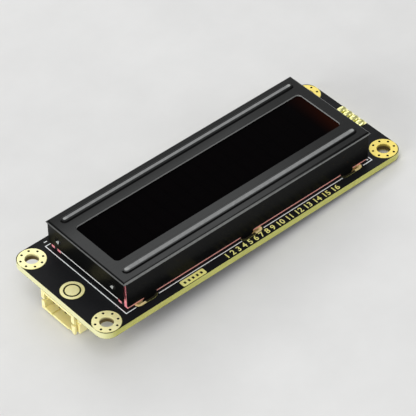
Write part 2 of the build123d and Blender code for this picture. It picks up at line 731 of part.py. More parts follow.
def socket_housing():
    """Moulded socket: lip, side ears, open mouth, back wall with pin holes, keying notches."""
    mouth = SOCKET_MOUTH_X
    back = mouth + SOCKET_DEPTH
    under = -MASK_THICKNESS
    bottom = -SOCKET_HEIGHT
    body = block(mouth, back, -SOCKET_BODY_WIDTH / 2, SOCKET_BODY_WIDTH / 2, bottom, under)
    lip_half = SOCKET_LIP_WIDTH / 2
    body += block(mouth, mouth + SOCKET_LIP_DEPTH, -lip_half, lip_half, bottom, under)
    ear_x = mouth + SOCKET_EAR_START
    ear_half = SOCKET_EAR_WIDTH / 2
    body += block(ear_x, ear_x + SOCKET_EAR_LENGTH, -ear_half, ear_half, bottom, under)
    cavity_half = SOCKET_BODY_WIDTH / 2 - SOCKET_WALL
    cavity_end = mouth + SOCKET_CAVITY_DEPTH
    floor_z = bottom + SOCKET_WALL
    body -= block(mouth - 1, cavity_end, -cavity_half, cavity_half, floor_z, under - SOCKET_WALL)
    slot_z = (bottom + under - SIDE_SLOT_HEIGHT) / 2
    for side in (-1, 1):
        y0 = min(side * cavity_half, side * (ear_half + 1))
        y1 = max(side * cavity_half, side * (ear_half + 1))
        body -= block(mouth - 1, mouth + SIDE_SLOT_DEPTH, y0, y1, slot_z, slot_z + SIDE_SLOT_HEIGHT)
    notch_end = mouth + KEY_NOTCH_DEPTH
    notch_top = bottom + KEY_NOTCH_HEIGHT
    body -= block(mouth - 1, notch_end, KEY_NOTCH_Y[0], KEY_NOTCH_Y[1], bottom - 1, notch_top)
    groove_y = (FLOOR_GROOVE_Y - FLOOR_GROOVE_WIDTH / 2, FLOOR_GROOVE_Y + FLOOR_GROOVE_WIDTH / 2)
    groove_end = mouth + FLOOR_GROOVE_END
    groove_z = floor_z - FLOOR_GROOVE_DEPTH
    body -= block(mouth - 1, groove_end, groove_y[0], groove_y[1], groove_z, floor_z + 1)
    half = SOCKET_PIN_SIZE / 2
    pin_z = (SOCKET_PIN_Z - half, SOCKET_PIN_Z + half)
    for y in PIN_ROWS:
        body -= block(cavity_end - 1, back + 1, y - half, y + half, pin_z[0], pin_z[1])
    return body


def socket_pins():
    """Square pins that pass the back wall and step up to the board."""
    half = SOCKET_PIN_SIZE / 2
    tip = SOCKET_MOUTH_X + SOCKET_PIN_TIP
    back = SOCKET_MOUTH_X + SOCKET_DEPTH
    heel = back + SOCKET_PIN_HEEL
    toe = heel + SOCKET_PIN_FOOT
    foot_top = -COPPER_THICKNESS
    points = [
        (tip, SOCKET_PIN_Z - half),
        (heel + 2 * half, SOCKET_PIN_Z - half),
        (heel + 2 * half, foot_top - 2 * half),
        (toe, foot_top - 2 * half),
        (toe, foot_top),
        (heel, foot_top),
        (heel, SOCKET_PIN_Z + half),
        (tip, SOCKET_PIN_Z + half),
    ]
    pins = []
    for y in PIN_ROWS:
        profile = Plane.XZ * Polygon(*points, align=None)
        pin = Pos(0, y, 0) * extrude(profile, half, both=True)
        end = pin.faces().sort_by(Axis.X)[0].edges()
        pins.append(chamfer(end, SOCKET_PIN_CHAMFER))
    return Compound(children=pins)


def socket_tabs():
    """Solder tabs in the ears that hold the socket down."""
    inner = SOCKET_EAR_WIDTH / 2
    x0 = SOCKET_MOUTH_X + SOLDER_TAB_START
    x1 = x0 + SOLDER_TAB_LENGTH
    foot_top = -COPPER_THICKNESS
    foot_bottom = foot_top - SOLDER_TAB_THICKNESS
    tabs = []
    for side in (-1, 1):
        wall_y = sorted((side * inner, side * (inner + SOLDER_TAB_THICKNESS)))
        foot_y = sorted((side * inner, side * (inner + SOLDER_TAB_FOOT)))
        wall = block(x0, x1, wall_y[0], wall_y[1], SOLDER_TAB_BOTTOM_Z, foot_top)
        tabs.append(wall + block(x0, x1, foot_y[0], foot_y[1], foot_bottom, foot_top))
    return Compound(children=tabs)


def socket_pads():
    """Copper pads under the socket's pins and tabs."""
    heel = SOCKET_MOUTH_X + SOCKET_DEPTH + SOCKET_PIN_HEEL
    pin_x = (heel - PAD_MARGIN, heel + SOCKET_PIN_FOOT + PAD_MARGIN)
    pin_half = SOCKET_PIN_SIZE / 2 + PAD_MARGIN
    pads = []
    for y in PIN_ROWS:
        y0 = y - pin_half
        y1 = y + pin_half
        pads.append(block(pin_x[0], pin_x[1], y0, y1, -COPPER_THICKNESS, -MASK_THICKNESS))
    x0 = SOCKET_MOUTH_X + SOLDER_TAB_START - PAD_MARGIN
    x1 = x0 + SOLDER_TAB_LENGTH + 2 * PAD_MARGIN
    reach = SOCKET_EAR_WIDTH / 2
    for side in (-1, 1):
        pad_y = sorted((side * reach, side * (reach + SOLDER_TAB_FOOT + PAD_MARGIN)))
        pads.append(block(x0, x1, pad_y[0], pad_y[1], -COPPER_THICKNESS, -MASK_THICKNESS))
    return Compound(children=pads)


def driver_ic_body():
    """Moulded body of the lamp driver, with drafted sides and the first-pin dimple."""
    top = -MASK_THICKNESS - DRIVER_IC_STANDOFF
    bottom = top - DRIVER_IC_HEIGHT
    body = block(
        DRIVER_IC_X - DRIVER_IC_LENGTH / 2, DRIVER_IC_X + DRIVER_IC_LENGTH / 2,
        DRIVER_IC_Y - DRIVER_IC_WIDTH / 2, DRIVER_IC_Y + DRIVER_IC_WIDTH / 2, bottom, top,
    )
    body = chamfer(body.faces().sort_by(Axis.Z)[0].edges(), DRIVER_IC_EDGE)
    dx, dy, radius, depth = DRIVER_IC_DIMPLE
    spot = Pos(DRIVER_IC_X + dx, DRIVER_IC_Y + dy) * RegularPolygon(radius, SPOT_SIDES)
    return body - plate(spot, bottom - 1, bottom + depth)


def driver_ic_leads():
    """Gull-wing leads along both long sides of the lamp driver."""
    edge = DRIVER_IC_WIDTH / 2
    middle = -MASK_THICKNESS - DRIVER_IC_STANDOFF - DRIVER_IC_HEIGHT / 2
    low = -MASK_THICKNESS
    gauge = DRIVER_IC_LEAD_THICKNESS
    knee = edge + DRIVER_IC_LEAD_KNEE
    toe = edge + DRIVER_IC_LEAD_REACH
    points = [
        (edge, middle + gauge / 2),
        (knee, middle + gauge / 2),
        (knee, low),
        (toe, low),
        (toe, low - gauge),
        (knee + gauge, low - gauge),
        (knee + gauge, middle - gauge / 2),
        (edge, middle - gauge / 2),
    ]
    leads = []
    for side in (-1, 1):
        for k in range(DRIVER_IC_LEADS):
            x = DRIVER_IC_X + (k - (DRIVER_IC_LEADS - 1) / 2) * DRIVER_IC_LEAD_PITCH
            outline = [(DRIVER_IC_Y + side * y, z) for y, z in points]
            profile = Plane.YZ * Polygon(*outline, align=None)
            leads.append(Pos(x, 0, 0) * extrude(profile, DRIVER_IC_LEAD_WIDTH / 2, both=True))
    return Compound(children=leads)


def chip_bodies(places, height):
    """Bodies of the small chips, between their end caps."""
    half = CHIP_LENGTH / 2 - CHIP_CAP
    top = -MASK_THICKNESS
    solids = []
    for x, y in places:
        solids.append(block(x - half, x + half, y - CHIP_WIDTH / 2, y + CHIP_WIDTH / 2, top - height, top))
    return Compound(children=solids)


def chip_caps(places, height):
    """Tinned end caps of the small chips."""
    top = -MASK_THICKNESS
    reach = CHIP_LENGTH / 2
    solids = []
    for x, y in places:
        for side in (-1, 1):
            near = x + side * (reach - CHIP_CAP)
            far = x + side * reach
            y0 = y - CHIP_WIDTH / 2
            solids.append(block(min(near, far), max(near, far), y0, y0 + CHIP_WIDTH, top - height, top))
    return Compound(children=solids)


NODES = {
    "circuit_board": circuit_board(),
    "solder_mask_top": solder_mask(True),
    "solder_mask_bottom": solder_mask(False),
    "plated_mounting_holes": plated_mounting_holes(),
    "plated_tab_slots": plated_tab_slots(),
    "gold_roundel": gold_roundel(),
    "gold_label": gold_label(),
    "backlight_pads": backlight_pads(),
    "contact_fingers": contact_fingers(),
    "silkscreen_outline": silkscreen_outline(),
    "bezel": bezel(),
    "front_polariser": front_polariser(),
    "front_glass": front_glass(),
    "cell_seal": cell_seal(),
    "liquid_crystal": liquid_crystal(),
    "rear_glass": rear_glass(),
    "rear_polariser": rear_polariser(),
    "light_diffuser": light_diffuser(),
    "light_guide": light_guide(),
    "reflector_film": reflector_film(),
    "backlight_frame": backlight_frame(),
    "led_board": led_board(),
    "led_packages": led_packages(),
    "backlight_leads": backlight_leads(),
    "lead_solder": lead_solder(),
    "strip_core_front": strip_core(-1),
    "strip_core_back": strip_core(1),
    "strip_foam_front": strip_foam(-1),
    "strip_foam_back": strip_foam(1),
    "controller_resin": resin_cap(CONTROLLER_X, CONTROLLER_RADIUS),
    "segment_driver_resin": resin_cap(DRIVER_X, DRIVER_RADIUS),
    "socket_housing": socket_housing(),
    "socket_pins": socket_pins(),
    "socket_tabs": socket_tabs(),
    "socket_pads": socket_pads(),
    "driver_ic_body": driver_ic_body(),
    "driver_ic_leads": driver_ic_leads(),
    "resistor_bodies": chip_bodies(RESISTOR_PLACES, RESISTOR_HEIGHT),
    "resistor_caps": chip_caps(RESISTOR_PLACES, RESISTOR_HEIGHT),
    "capacitor_bodies": chip_bodies(CAPACITOR_PLACES, CAPACITOR_HEIGHT),
    "capacitor_caps": chip_caps(CAPACITOR_PLACES, CAPACITOR_HEIGHT),
}

os.makedirs("parts", exist_ok=True)
for name, shape in NODES.items():
    export_step(shape, f"parts/{name}.step")
    print(name, len(shape.solids()), round(shape.volume, 3))
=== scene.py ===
# %% [markdown]
# # A character display module, dressed for its portrait
# The real object is a black circuit board about as long as a finger. A folded steel bezel holds
# a glass display over it, rubber strips carry the signals from the board to the glass, and a
# small ivory socket hides under the left end. The solids come from the CAD model. This lesson
# gives each of them its finish, rounds the edges of the pressed and moulded pieces, adds domes
# of solder and gold numerals, and sets up a plain studio. Every length is in metres, as in
# Blender's own scene, except the camera's lens and sensor, which are in millimetres.

# %% Load the fixed frame
import math

import bmesh
import bpy
from mathutils import Matrix, Vector


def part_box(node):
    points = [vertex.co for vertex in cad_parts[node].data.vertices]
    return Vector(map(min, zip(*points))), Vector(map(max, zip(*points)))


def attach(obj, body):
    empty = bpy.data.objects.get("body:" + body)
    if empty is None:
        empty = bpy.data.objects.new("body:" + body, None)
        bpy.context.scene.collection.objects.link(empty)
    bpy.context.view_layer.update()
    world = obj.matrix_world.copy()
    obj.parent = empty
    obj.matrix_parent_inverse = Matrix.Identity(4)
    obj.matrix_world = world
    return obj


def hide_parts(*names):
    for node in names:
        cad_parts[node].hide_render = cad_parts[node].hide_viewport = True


MM = 0.001
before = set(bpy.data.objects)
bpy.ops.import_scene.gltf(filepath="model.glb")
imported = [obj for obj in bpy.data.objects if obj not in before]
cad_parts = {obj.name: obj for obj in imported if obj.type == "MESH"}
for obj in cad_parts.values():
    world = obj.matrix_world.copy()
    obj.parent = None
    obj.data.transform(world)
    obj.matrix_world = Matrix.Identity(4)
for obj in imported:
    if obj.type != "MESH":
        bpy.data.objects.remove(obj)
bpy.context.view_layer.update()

# %% [markdown]
# ## The camera comes first
# A small object that fills the picture without looking stretched was photographed through a long
# lens from far away. The place, the two directions of the picture and the lens were worked out
# from the board's corners, its holes and the bezel's folds, so the render lines up with them.

# %% Place the camera
CAMERA_PLACE = Vector((-0.25989, -0.30637, 0.37828))
PICTURE_RIGHT = Vector((0.75265, -0.65818, -0.01803))
PICTURE_UP = Vector((0.46122, 0.50748, 0.72783))
LENS_MM = 216.96
SENSOR_MM = 36.0

camera_data = bpy.data.cameras.new("portrait_camera")
camera_data.lens = LENS_MM
camera_data.sensor_width = SENSOR_MM
camera = bpy.data.objects.new("portrait_camera", camera_data)
bpy.context.scene.collection.objects.link(camera)
towards_eye = PICTURE_RIGHT.cross(PICTURE_UP).normalized()
picture_up = towards_eye.cross(PICTURE_RIGHT).normalized()
turn = Matrix((PICTURE_RIGHT.normalized(), picture_up, towards_eye))
camera.matrix_world = Matrix.Translation(CAMERA_PLACE) @ turn.transposed().to_4x4()
bpy.context.scene.camera = camera
print("camera distance in mm:", round(CAMERA_PLACE.length / MM))

# %% [markdown]
# ## A pale floor that meets the part
# The module doesn't lie flat: it rests on the socket's rear edge at the left and on the tips of
# the bezel's tabs at the right. A level floor would leave one end in the air, and a large tilted
# one would hide the part from low angles. So the floor is level far away and has one gentle ramp
# under the part, which touches it in both places. Seen from below, the floor is clear.

# %% Build the floor
SOCKET_EDGE_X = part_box("socket_housing")[1].x
SOCKET_EDGE_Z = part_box("socket_housing")[0].z
TAB_TIP_X = 29.6 * MM
TAB_TIP_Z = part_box("bezel")[0].z
RAMP_SLOPE = (TAB_TIP_Z - SOCKET_EDGE_Z) / (TAB_TIP_X - SOCKET_EDGE_X)
RAMP_LEFT = -46.0 * MM
RAMP_RIGHT = 31.0 * MM
RAMP_EASE = 18.0 * MM
RAMP_STEPS = 12
FLOOR_REACH = 4.0


def ramp_height(x):
    """Height of the floor: a straight ramp whose slope eases to level beyond both ends."""
    inside = min(max(x, RAMP_LEFT), RAMP_RIGHT)
    beyond = min(abs(x - inside), RAMP_EASE)
    eased = beyond - beyond ** 2 / (2 * RAMP_EASE)
    side = 1 if x > inside else -1
    return SOCKET_EDGE_Z + RAMP_SLOPE * (inside - SOCKET_EDGE_X + side * eased)


def floor_columns():
    """The X of each line of floor corners, close together where the slope eases."""
    steps = [k / RAMP_STEPS for k in range(RAMP_STEPS + 1)]
    left = [RAMP_LEFT - RAMP_EASE * (1 - t) for t in steps]
    right = [RAMP_RIGHT + RAMP_EASE * t for t in steps]
    return [-FLOOR_REACH] + left + right + [FLOOR_REACH]


floor_mesh = bpy.data.meshes.new("studio_floor")
columns = floor_columns()
corners = [(x, y, ramp_height(x)) for x in columns for y in (-FLOOR_REACH, FLOOR_REACH)]
strips = [(2 * k, 2 * k + 2, 2 * k + 3, 2 * k + 1) for k in range(len(columns) - 1)]
floor_mesh.from_pydata(corners, [], strips)
floor_mesh.polygons.foreach_set("use_smooth", [True] * len(strips))
floor = bpy.data.objects.new("studio_floor", floor_mesh)
bpy.context.scene.collection.objects.link(floor)
print("ramp slope in degrees:", round(math.degrees(math.atan(RAMP_SLOPE)), 2))

# %% [markdown]
# ## Small helpers for node trees
# A finish is a tree of nodes. Typing every link by hand hides the idea behind it, so one helper
# adds a node and fills its inputs, either with a number or with the output of another node.

# %% Helpers for materials
def add(tree, kind, inputs=None, **settings):
    """Add a node, set its options, and fill inputs with values or with other nodes' outputs."""
    node = tree.nodes.new(kind)
    for key, value in settings.items():
        setattr(node, key, value)
    for key, value in (inputs or {}).items():
        if isinstance(value, bpy.types.NodeSocket):
            tree.links.new(value, node.inputs[key])
        else:
            node.inputs[key].default_value = value
    return node


def start_material(name):
    """An empty material with a Principled shader, and the coordinates that patterns follow."""
    material = bpy.data.materials.new(name)
    material.use_nodes = True
    tree = material.node_tree
    tree.nodes.clear()
    shader = tree.nodes.new("ShaderNodeBsdfPrincipled")
    output = tree.nodes.new("ShaderNodeOutputMaterial")
    tree.links.new(shader.outputs["BSDF"], output.inputs["Surface"])
    place = tree.nodes.new("ShaderNodeTexCoord").outputs["Object"]
    return material, tree, shader, place


def blend_colours(tree, amount, first, second):
    """The first colour where the amount is 0 and the second where it is 1."""
    mix = add(tree, "ShaderNodeMix", {0: amount, 6: first, 7: second}, data_type="RGBA")
    return mix.outputs[2]


def relief(tree, height, depth):
    """A bump of the given depth in metres, as a normal."""
    bump = add(tree, "ShaderNodeBump", {"Height": height, "Distance": depth, "Strength": 1.0})
    return bump.outputs["Normal"]


def calculate(tree, operation, *values):
    """One step of arithmetic on numbers or on other nodes' outputs."""
    node = tree.nodes.new("ShaderNodeMath")
    node.operation = operation
    for slot, value in zip(node.inputs, values):
        if isinstance(value, bpy.types.NodeSocket):
            tree.links.new(value, slot)
        else:
            slot.default_value = value
    return node.outputs[0]


def ramp(tree, value, start, end):
    """A mask that runs smoothly from 0 at start to 1 at end; end may be the lower of the two."""
    node = add(tree, "ShaderNodeMapRange", {
        "Value": value, "From Min": start, "From Max": end,
    }, interpolation_type="SMOOTHSTEP")
    return node.outputs["Result"]


def absolute(tree, value):
    return calculate(tree, "ABSOLUTE", value)


def both(tree, *masks):
    """The product of two or more masks."""
    result = masks[0]
    for mask in masks[1:]:
        result = calculate(tree, "MULTIPLY", result, mask)
    return result


def between(tree, mask, low, high):
    """A mask stretched so that it runs from low to high."""
    node = add(tree, "ShaderNodeMapRange", {"Value": mask, "To Min": low, "To Max": high})
    return node.outputs["Result"]


def split(tree, vector):
    return add(tree, "ShaderNodeSeparateXYZ", {"Vector": vector}).outputs


def face_direction(tree):
    """The X, Y and Z of the direction that each face looks in."""
    return split(tree, tree.nodes.new("ShaderNodeNewGeometry").outputs["Normal"])


# %% [markdown]
# ## Two effects that many finishes share
# Paint, lacquer, moulded plastic and plated metal all vary a little from place to place, and a
# rolled or brushed sheet varies in long hairlines. Both are noise, so each is built once as a
# node group with named inputs and used everywhere with its own numbers.

# %% Shared node groups
def start_group(name, inputs, outputs):
    """A shader node group with its sockets, and the nodes at its two ends."""
    group = bpy.data.node_groups.new(name, "ShaderNodeTree")
    for label, kind in inputs:
        group.interface.new_socket(label, in_out="INPUT", socket_type=kind)
    for label in outputs:
        group.interface.new_socket(label, in_out="OUTPUT", socket_type="NodeSocketFloat")
    return group, group.nodes.new("NodeGroupInput"), group.nodes.new("NodeGroupOutput")


MOTTLE_INPUTS = [
    ("Place", "NodeSocketVector"), ("Per Metre", "NodeSocketFloat"),
    ("From", "NodeSocketFloat"), ("To", "NodeSocketFloat"),
]
mottle, entry, leave = start_group("Mottle", MOTTLE_INPUTS, ["Mask"])
noise = add(mottle, "ShaderNodeTexNoise", {
    "Vector": entry.outputs["Place"], "Scale": entry.outputs["Per Metre"],
    "Detail": 4.0, "Roughness": 0.6,
})
spread = add(mottle, "ShaderNodeMapRange", {
    "Value": noise.outputs["Fac"], "From Min": 0.3, "From Max": 0.7,
    "To Min": entry.outputs["From"], "To Max": entry.outputs["To"],
})
mottle.links.new(spread.outputs["Result"], leave.inputs["Mask"])

HAIRLINE_INPUTS = [
    ("Place", "NodeSocketVector"), ("Stretch", "NodeSocketVector"), ("Contrast", "NodeSocketFloat"),
]
hairline, entry, leave = start_group("Hairline", HAIRLINE_INPUTS, ["Mask"])
stretched = add(hairline, "ShaderNodeVectorMath", {
    0: entry.outputs["Place"], 1: entry.outputs["Stretch"],
}, operation="MULTIPLY")
lines = add(hairline, "ShaderNodeTexNoise", {
    "Vector": stretched.outputs[0], "Scale": 1.0, "Detail": 3.0, "Roughness": 0.65,
})
centred_lines = calculate(hairline, "SUBTRACT", lines.outputs["Fac"], 0.5)
scaled_lines = calculate(hairline, "MULTIPLY", centred_lines, entry.outputs["Contrast"])
hairline.links.new(calculate(hairline, "ADD", scaled_lines, 0.5), leave.inputs["Mask"])


def mottled(tree, place, per_metre, low=0.0, high=1.0):
    """The mottle group placed in a material: a mask that wanders from low to high."""
    node = add(tree, "ShaderNodeGroup", node_tree=mottle)
    tree.links.new(place, node.inputs["Place"])
    node.inputs["Per Metre"].default_value = per_metre
    node.inputs["From"].default_value = low
    node.inputs["To"].default_value = high
    return node.outputs["Mask"]


def hairlines(tree, place, stretch, contrast):
    """The hairline group placed in a material; stretch is how often the noise turns per metre."""
    node = add(tree, "ShaderNodeGroup", node_tree=hairline)
    tree.links.new(place, node.inputs["Place"])
    node.inputs["Stretch"].default_value = stretch
    node.inputs["Contrast"].default_value = contrast
    return node.outputs["Mask"]


print("shared groups:", [g.name for g in (mottle, hairline)])

# %% [markdown]
# ## Studio floor and light
# The floor is pale and plain. A large, weak softbox hangs behind the part, where the flat gold
# lands mirror it. Another stands low at the left, where the cut edge of the board and the ivory
# socket face it, and a third overhead keeps the bezel's shadow off the left end. Two narrow
# strips draw lines of light: one behind, for the crests of the ribs, and one low in front, for
# the folds. The world is an even grey that fills the shadows. All of them together light a level
# surface to just under 1, so a colour renders about as written.

# %% Floor finish and lights
PAPER_DARK = (0.74, 0.74, 0.735, 1)
PAPER_LIGHT = (0.78, 0.78, 0.775, 1)
WORLD_WHITE = (1.0, 1.0, 1.0, 1)
WORLD_LEVEL = 0.32
# Each light: name, place, width, height and power. All of them aim at the part.
LIGHTS = [
    ("back_softbox", (0.61, 0.78, 0.83), 1.5, 1.4, 4.8),
    ("left_softbox", (-1.06, -0.08, 0.28), 0.7, 0.5, 8.0),
    ("top_softbox", (-0.25, -0.15, 1.10), 0.9, 0.9, 4.2),
    ("crest_strip", (0.56, 0.89, 0.58), 1.0, 0.05, 3.0),
    ("front_strip", (0.60, -1.05, 0.16), 0.9, 0.12, 4.5),
]


def floor_paint():
    """Pale matte paper, clear when it is seen from below."""
    material, tree, shader, place = start_material("pale_paper")
    grain = mottled(tree, place, 60.0)
    tint = blend_colours(tree, grain, PAPER_DARK, PAPER_LIGHT)
    tree.links.new(tint, shader.inputs["Base Color"])
    shader.inputs["Roughness"].default_value = 0.9
    shader.inputs["Specular IOR Level"].default_value = 0.1
    clear = tree.nodes.new("ShaderNodeBsdfTransparent")
    behind = tree.nodes.new("ShaderNodeNewGeometry").outputs["Backfacing"]
    choose = tree.nodes.new("ShaderNodeMixShader")
    tree.links.new(behind, choose.inputs[0])
    tree.links.new(shader.outputs["BSDF"], choose.inputs[1])
    tree.links.new(clear.outputs["BSDF"], choose.inputs[2])
    output = next(n for n in tree.nodes if n.type == "OUTPUT_MATERIAL")
    tree.links.new(choose.outputs["Shader"], output.inputs["Surface"])
    return material


def soft_light(name, place, width, height, power):
    """A rectangular soft light, aimed at the frame's origin."""
    data = bpy.data.lights.new(name, "AREA")
    data.shape = "RECTANGLE"
    data.size = width
    data.size_y = height
    data.energy = power
    light = bpy.data.objects.new(name, data)
    bpy.context.scene.collection.objects.link(light)
    light.location = place
    light.rotation_euler = (-Vector(place)).to_track_quat("-Z", "Y").to_euler()


floor_mesh.materials.append(floor_paint())
world = bpy.data.worlds.new("even_grey")
world.use_nodes = True
background = world.node_tree.nodes["Background"]
background.inputs["Color"].default_value = WORLD_WHITE
background.inputs["Strength"].default_value = WORLD_LEVEL
bpy.context.scene.world = world
bpy.context.scene.view_settings.view_transform = "Standard"
for light_values in LIGHTS:
    soft_light(*light_values)
print("lights:", len(LIGHTS), "world level:", WORLD_LEVEL)

# %% [markdown]
# ## Helpers that dress the CAD nodes
# A CAD node keeps its shape and only takes a material. A pressed or moulded piece has slightly
# rounded edges that catch the light, which the CAD model leaves sharp. For those, a copy of the
# node's mesh is merged, its flat faces are joined up again, and a small bevel is applied. The
# copy then stands for the node.

# %% Helpers for pieces
MERGE_REACH = 0.002 * MM
FLAT_ANGLE = math.radians(0.5)
SHARP_ANGLE = math.radians(24.0)


def finish_nodes(material, *names):
    """Give CAD nodes their finish."""
    for name in names:
        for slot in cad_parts[name].material_slots:
            slot.material = material


def keep_piece(name, mesh, material, replaced=()):
    """Turn a finished mesh into a piece that rides on the module."""
    piece = bpy.data.objects.new(name, mesh)
    bpy.context.scene.collection.objects.link(piece)
    mesh.materials.clear()
    mesh.materials.append(material)
    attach(piece, "root")
    if replaced:
        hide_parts(*replaced)


def evaluated_mesh(piece, name):
    """The piece's mesh with its modifiers applied."""
    graph = bpy.context.evaluated_depsgraph_get()
    mesh = bpy.data.meshes.new_from_object(piece.evaluated_get(graph), depsgraph=graph)
    mesh.name = name
    return mesh


def softened(node, width, segments):
    """A copy of a CAD node's mesh with every sharp edge rounded."""
    form = bmesh.new()
    form.from_mesh(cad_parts[node].data)
    bmesh.ops.remove_doubles(form, verts=form.verts, dist=MERGE_REACH)
    bmesh.ops.dissolve_limit(form, angle_limit=FLAT_ANGLE, verts=form.verts, edges=form.edges)
    mesh = bpy.data.meshes.new(node + "_softened")
    form.to_mesh(mesh)
    form.free()
    scratch = bpy.data.objects.new(node + "_scratch", mesh)
    bpy.context.scene.collection.objects.link(scratch)
    bevel = scratch.modifiers.new("rounding", "BEVEL")
    bevel.width = width
    bevel.segments = segments
    bevel.limit_method = "ANGLE"
    bevel.angle_limit = SHARP_ANGLE
    bevel.harden_normals = True
    result = evaluated_mesh(scratch, node + "_softened")
    bpy.data.objects.remove(scratch)
    return result


# %% [markdown]
# ## Black lacquered steel
# The bezel is pressed from thin steel and lacquered satin black. The flat top keeps the rolling
# grain of the sheet in a painted grey sheen, which stands for the light it reflects, so it looks
# grey and slightly brushed. The sheen is painted darker towards the right and the back as painted
# shade, and stops short of the back and right edges. The slopes and the bent-down walls look
# nearly black. Painted highlights make the crests of the ribs, the lower line of each fold and a
# small spot in each pressed dimple light grey. The window is punched after the lacquering, so its
# edge is bare steel, and its grey also stands for the highlight it catches. One material does all
# of this: the face's own direction and its height choose between the greys, and hairlines along
# the module's length vary colour and gloss.

# %% Bezel finish
# A pair is where a mask starts and where it ends. Here the pairs are lengths.
BEZEL_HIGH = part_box("bezel")[1]
RIB_RISE = 0.42 * MM
BEZEL_TOP = BEZEL_HIGH.z - RIB_RISE
TOP_BLUR = 0.03 * MM
FOLD_DEPTH = 0.57 * MM
FOLD_ROUNDING = 0.18 * MM
# These stop the painted sheen short of the back and right edges, as a painted dark band.
BACK_BORDER = (BEZEL_HIGH.y - 0.9 * MM, BEZEL_HIGH.y - 1.4 * MM)
RIGHT_BORDER = (BEZEL_HIGH.x - 0.9 * MM, BEZEL_HIGH.x - 1.3 * MM)
# Painted shade: where the painted sheen fades darker towards the right and the back.
SHEEN_FADE_X = (-8 * MM, 34 * MM)
SHEEN_FADE_Y = (3 * MM, 13 * MM)
SHEEN_FADE_SHARE = 0.95
FRONT_FOLD_X = (30 * MM, -6 * MM)
DIMPLE_X = (34.9 * MM, 35.1 * MM)
DIMPLE_Z = (6.2 * MM, 5.9 * MM)
BACK_RIB_Y = (-1 * MM, 1 * MM)
RIB_END_X = (31.4 * MM, 32.6 * MM)
WINDOW_X = (33.0 * MM, 32.8 * MM)
WINDOW_Y = (7.6 * MM, 7.4 * MM)
# These pairs are shares: 1 is a face that looks straight along an axis, -1 one that looks back.
FLAT_UP = (0.80, 0.97)
SHOULDER_UP = (0.3, 0.5)
SHOULDER_SIDE = (0.3, 0.1)
FAR_SIDE = (0.1, 0.3)
FOLD_LENGTHWAYS = (-0.6, 0.9)
FRONT_SIDE = (-0.2, -0.5)
DIMPLE_UP = (0.26, 0.34)
DIMPLE_FRONT = (-0.26, -0.20)
DIMPLE_BACK = (-0.06, -0.12)
PUNCHED_UP = (0.7, 0.4)
GRAIN_STRETCH = (350.0, 9000.0, 9000.0)
GRAIN_CONTRAST = 1.3
GRAIN_DEPTH = 0.003 * MM
HIGHLIGHT_BREAK_RANGE = (0.75, 1.0)
LACQUER_ROUGHNESS = (0.24, 0.36)
LACQUER_SPECULAR = 0.055
# Painted sheen: the greys of the top stand for the light it reflects.
SHEEN_GRAIN_DARK = (0.045, 0.046, 0.046, 1)
SHEEN_GRAIN_LIGHT = (0.062, 0.064, 0.064, 1)
SHEEN_CLOUD_GREY = (0.053, 0.054, 0.054, 1)
FADED_SHEEN_GREY = (0.013, 0.0135, 0.0135, 1)
SLOPE_BLACK = (0.0035, 0.0036, 0.0036, 1)
# Painted highlights: the light greys of the crests, the rib ends, the dimples and the folds.
CREST_HIGHLIGHT_GREY = (0.26, 0.265, 0.265, 1)
END_GLINT_GREY = (0.34, 0.35, 0.34, 1)
FOLD_HIGHLIGHT_GREY = (0.19, 0.195, 0.19, 1)
CUT_STEEL_AND_HIGHLIGHT = (0.26, 0.265, 0.26, 1)


def fold_level(share):
    """A height below the bezel's top, as a share of the depth of its folds."""
    return BEZEL_TOP - share * FOLD_DEPTH


def rib_level(share):
    """A height above the bezel's top, as a share of the rise of its ribs."""
    return BEZEL_TOP + share * RIB_RISE


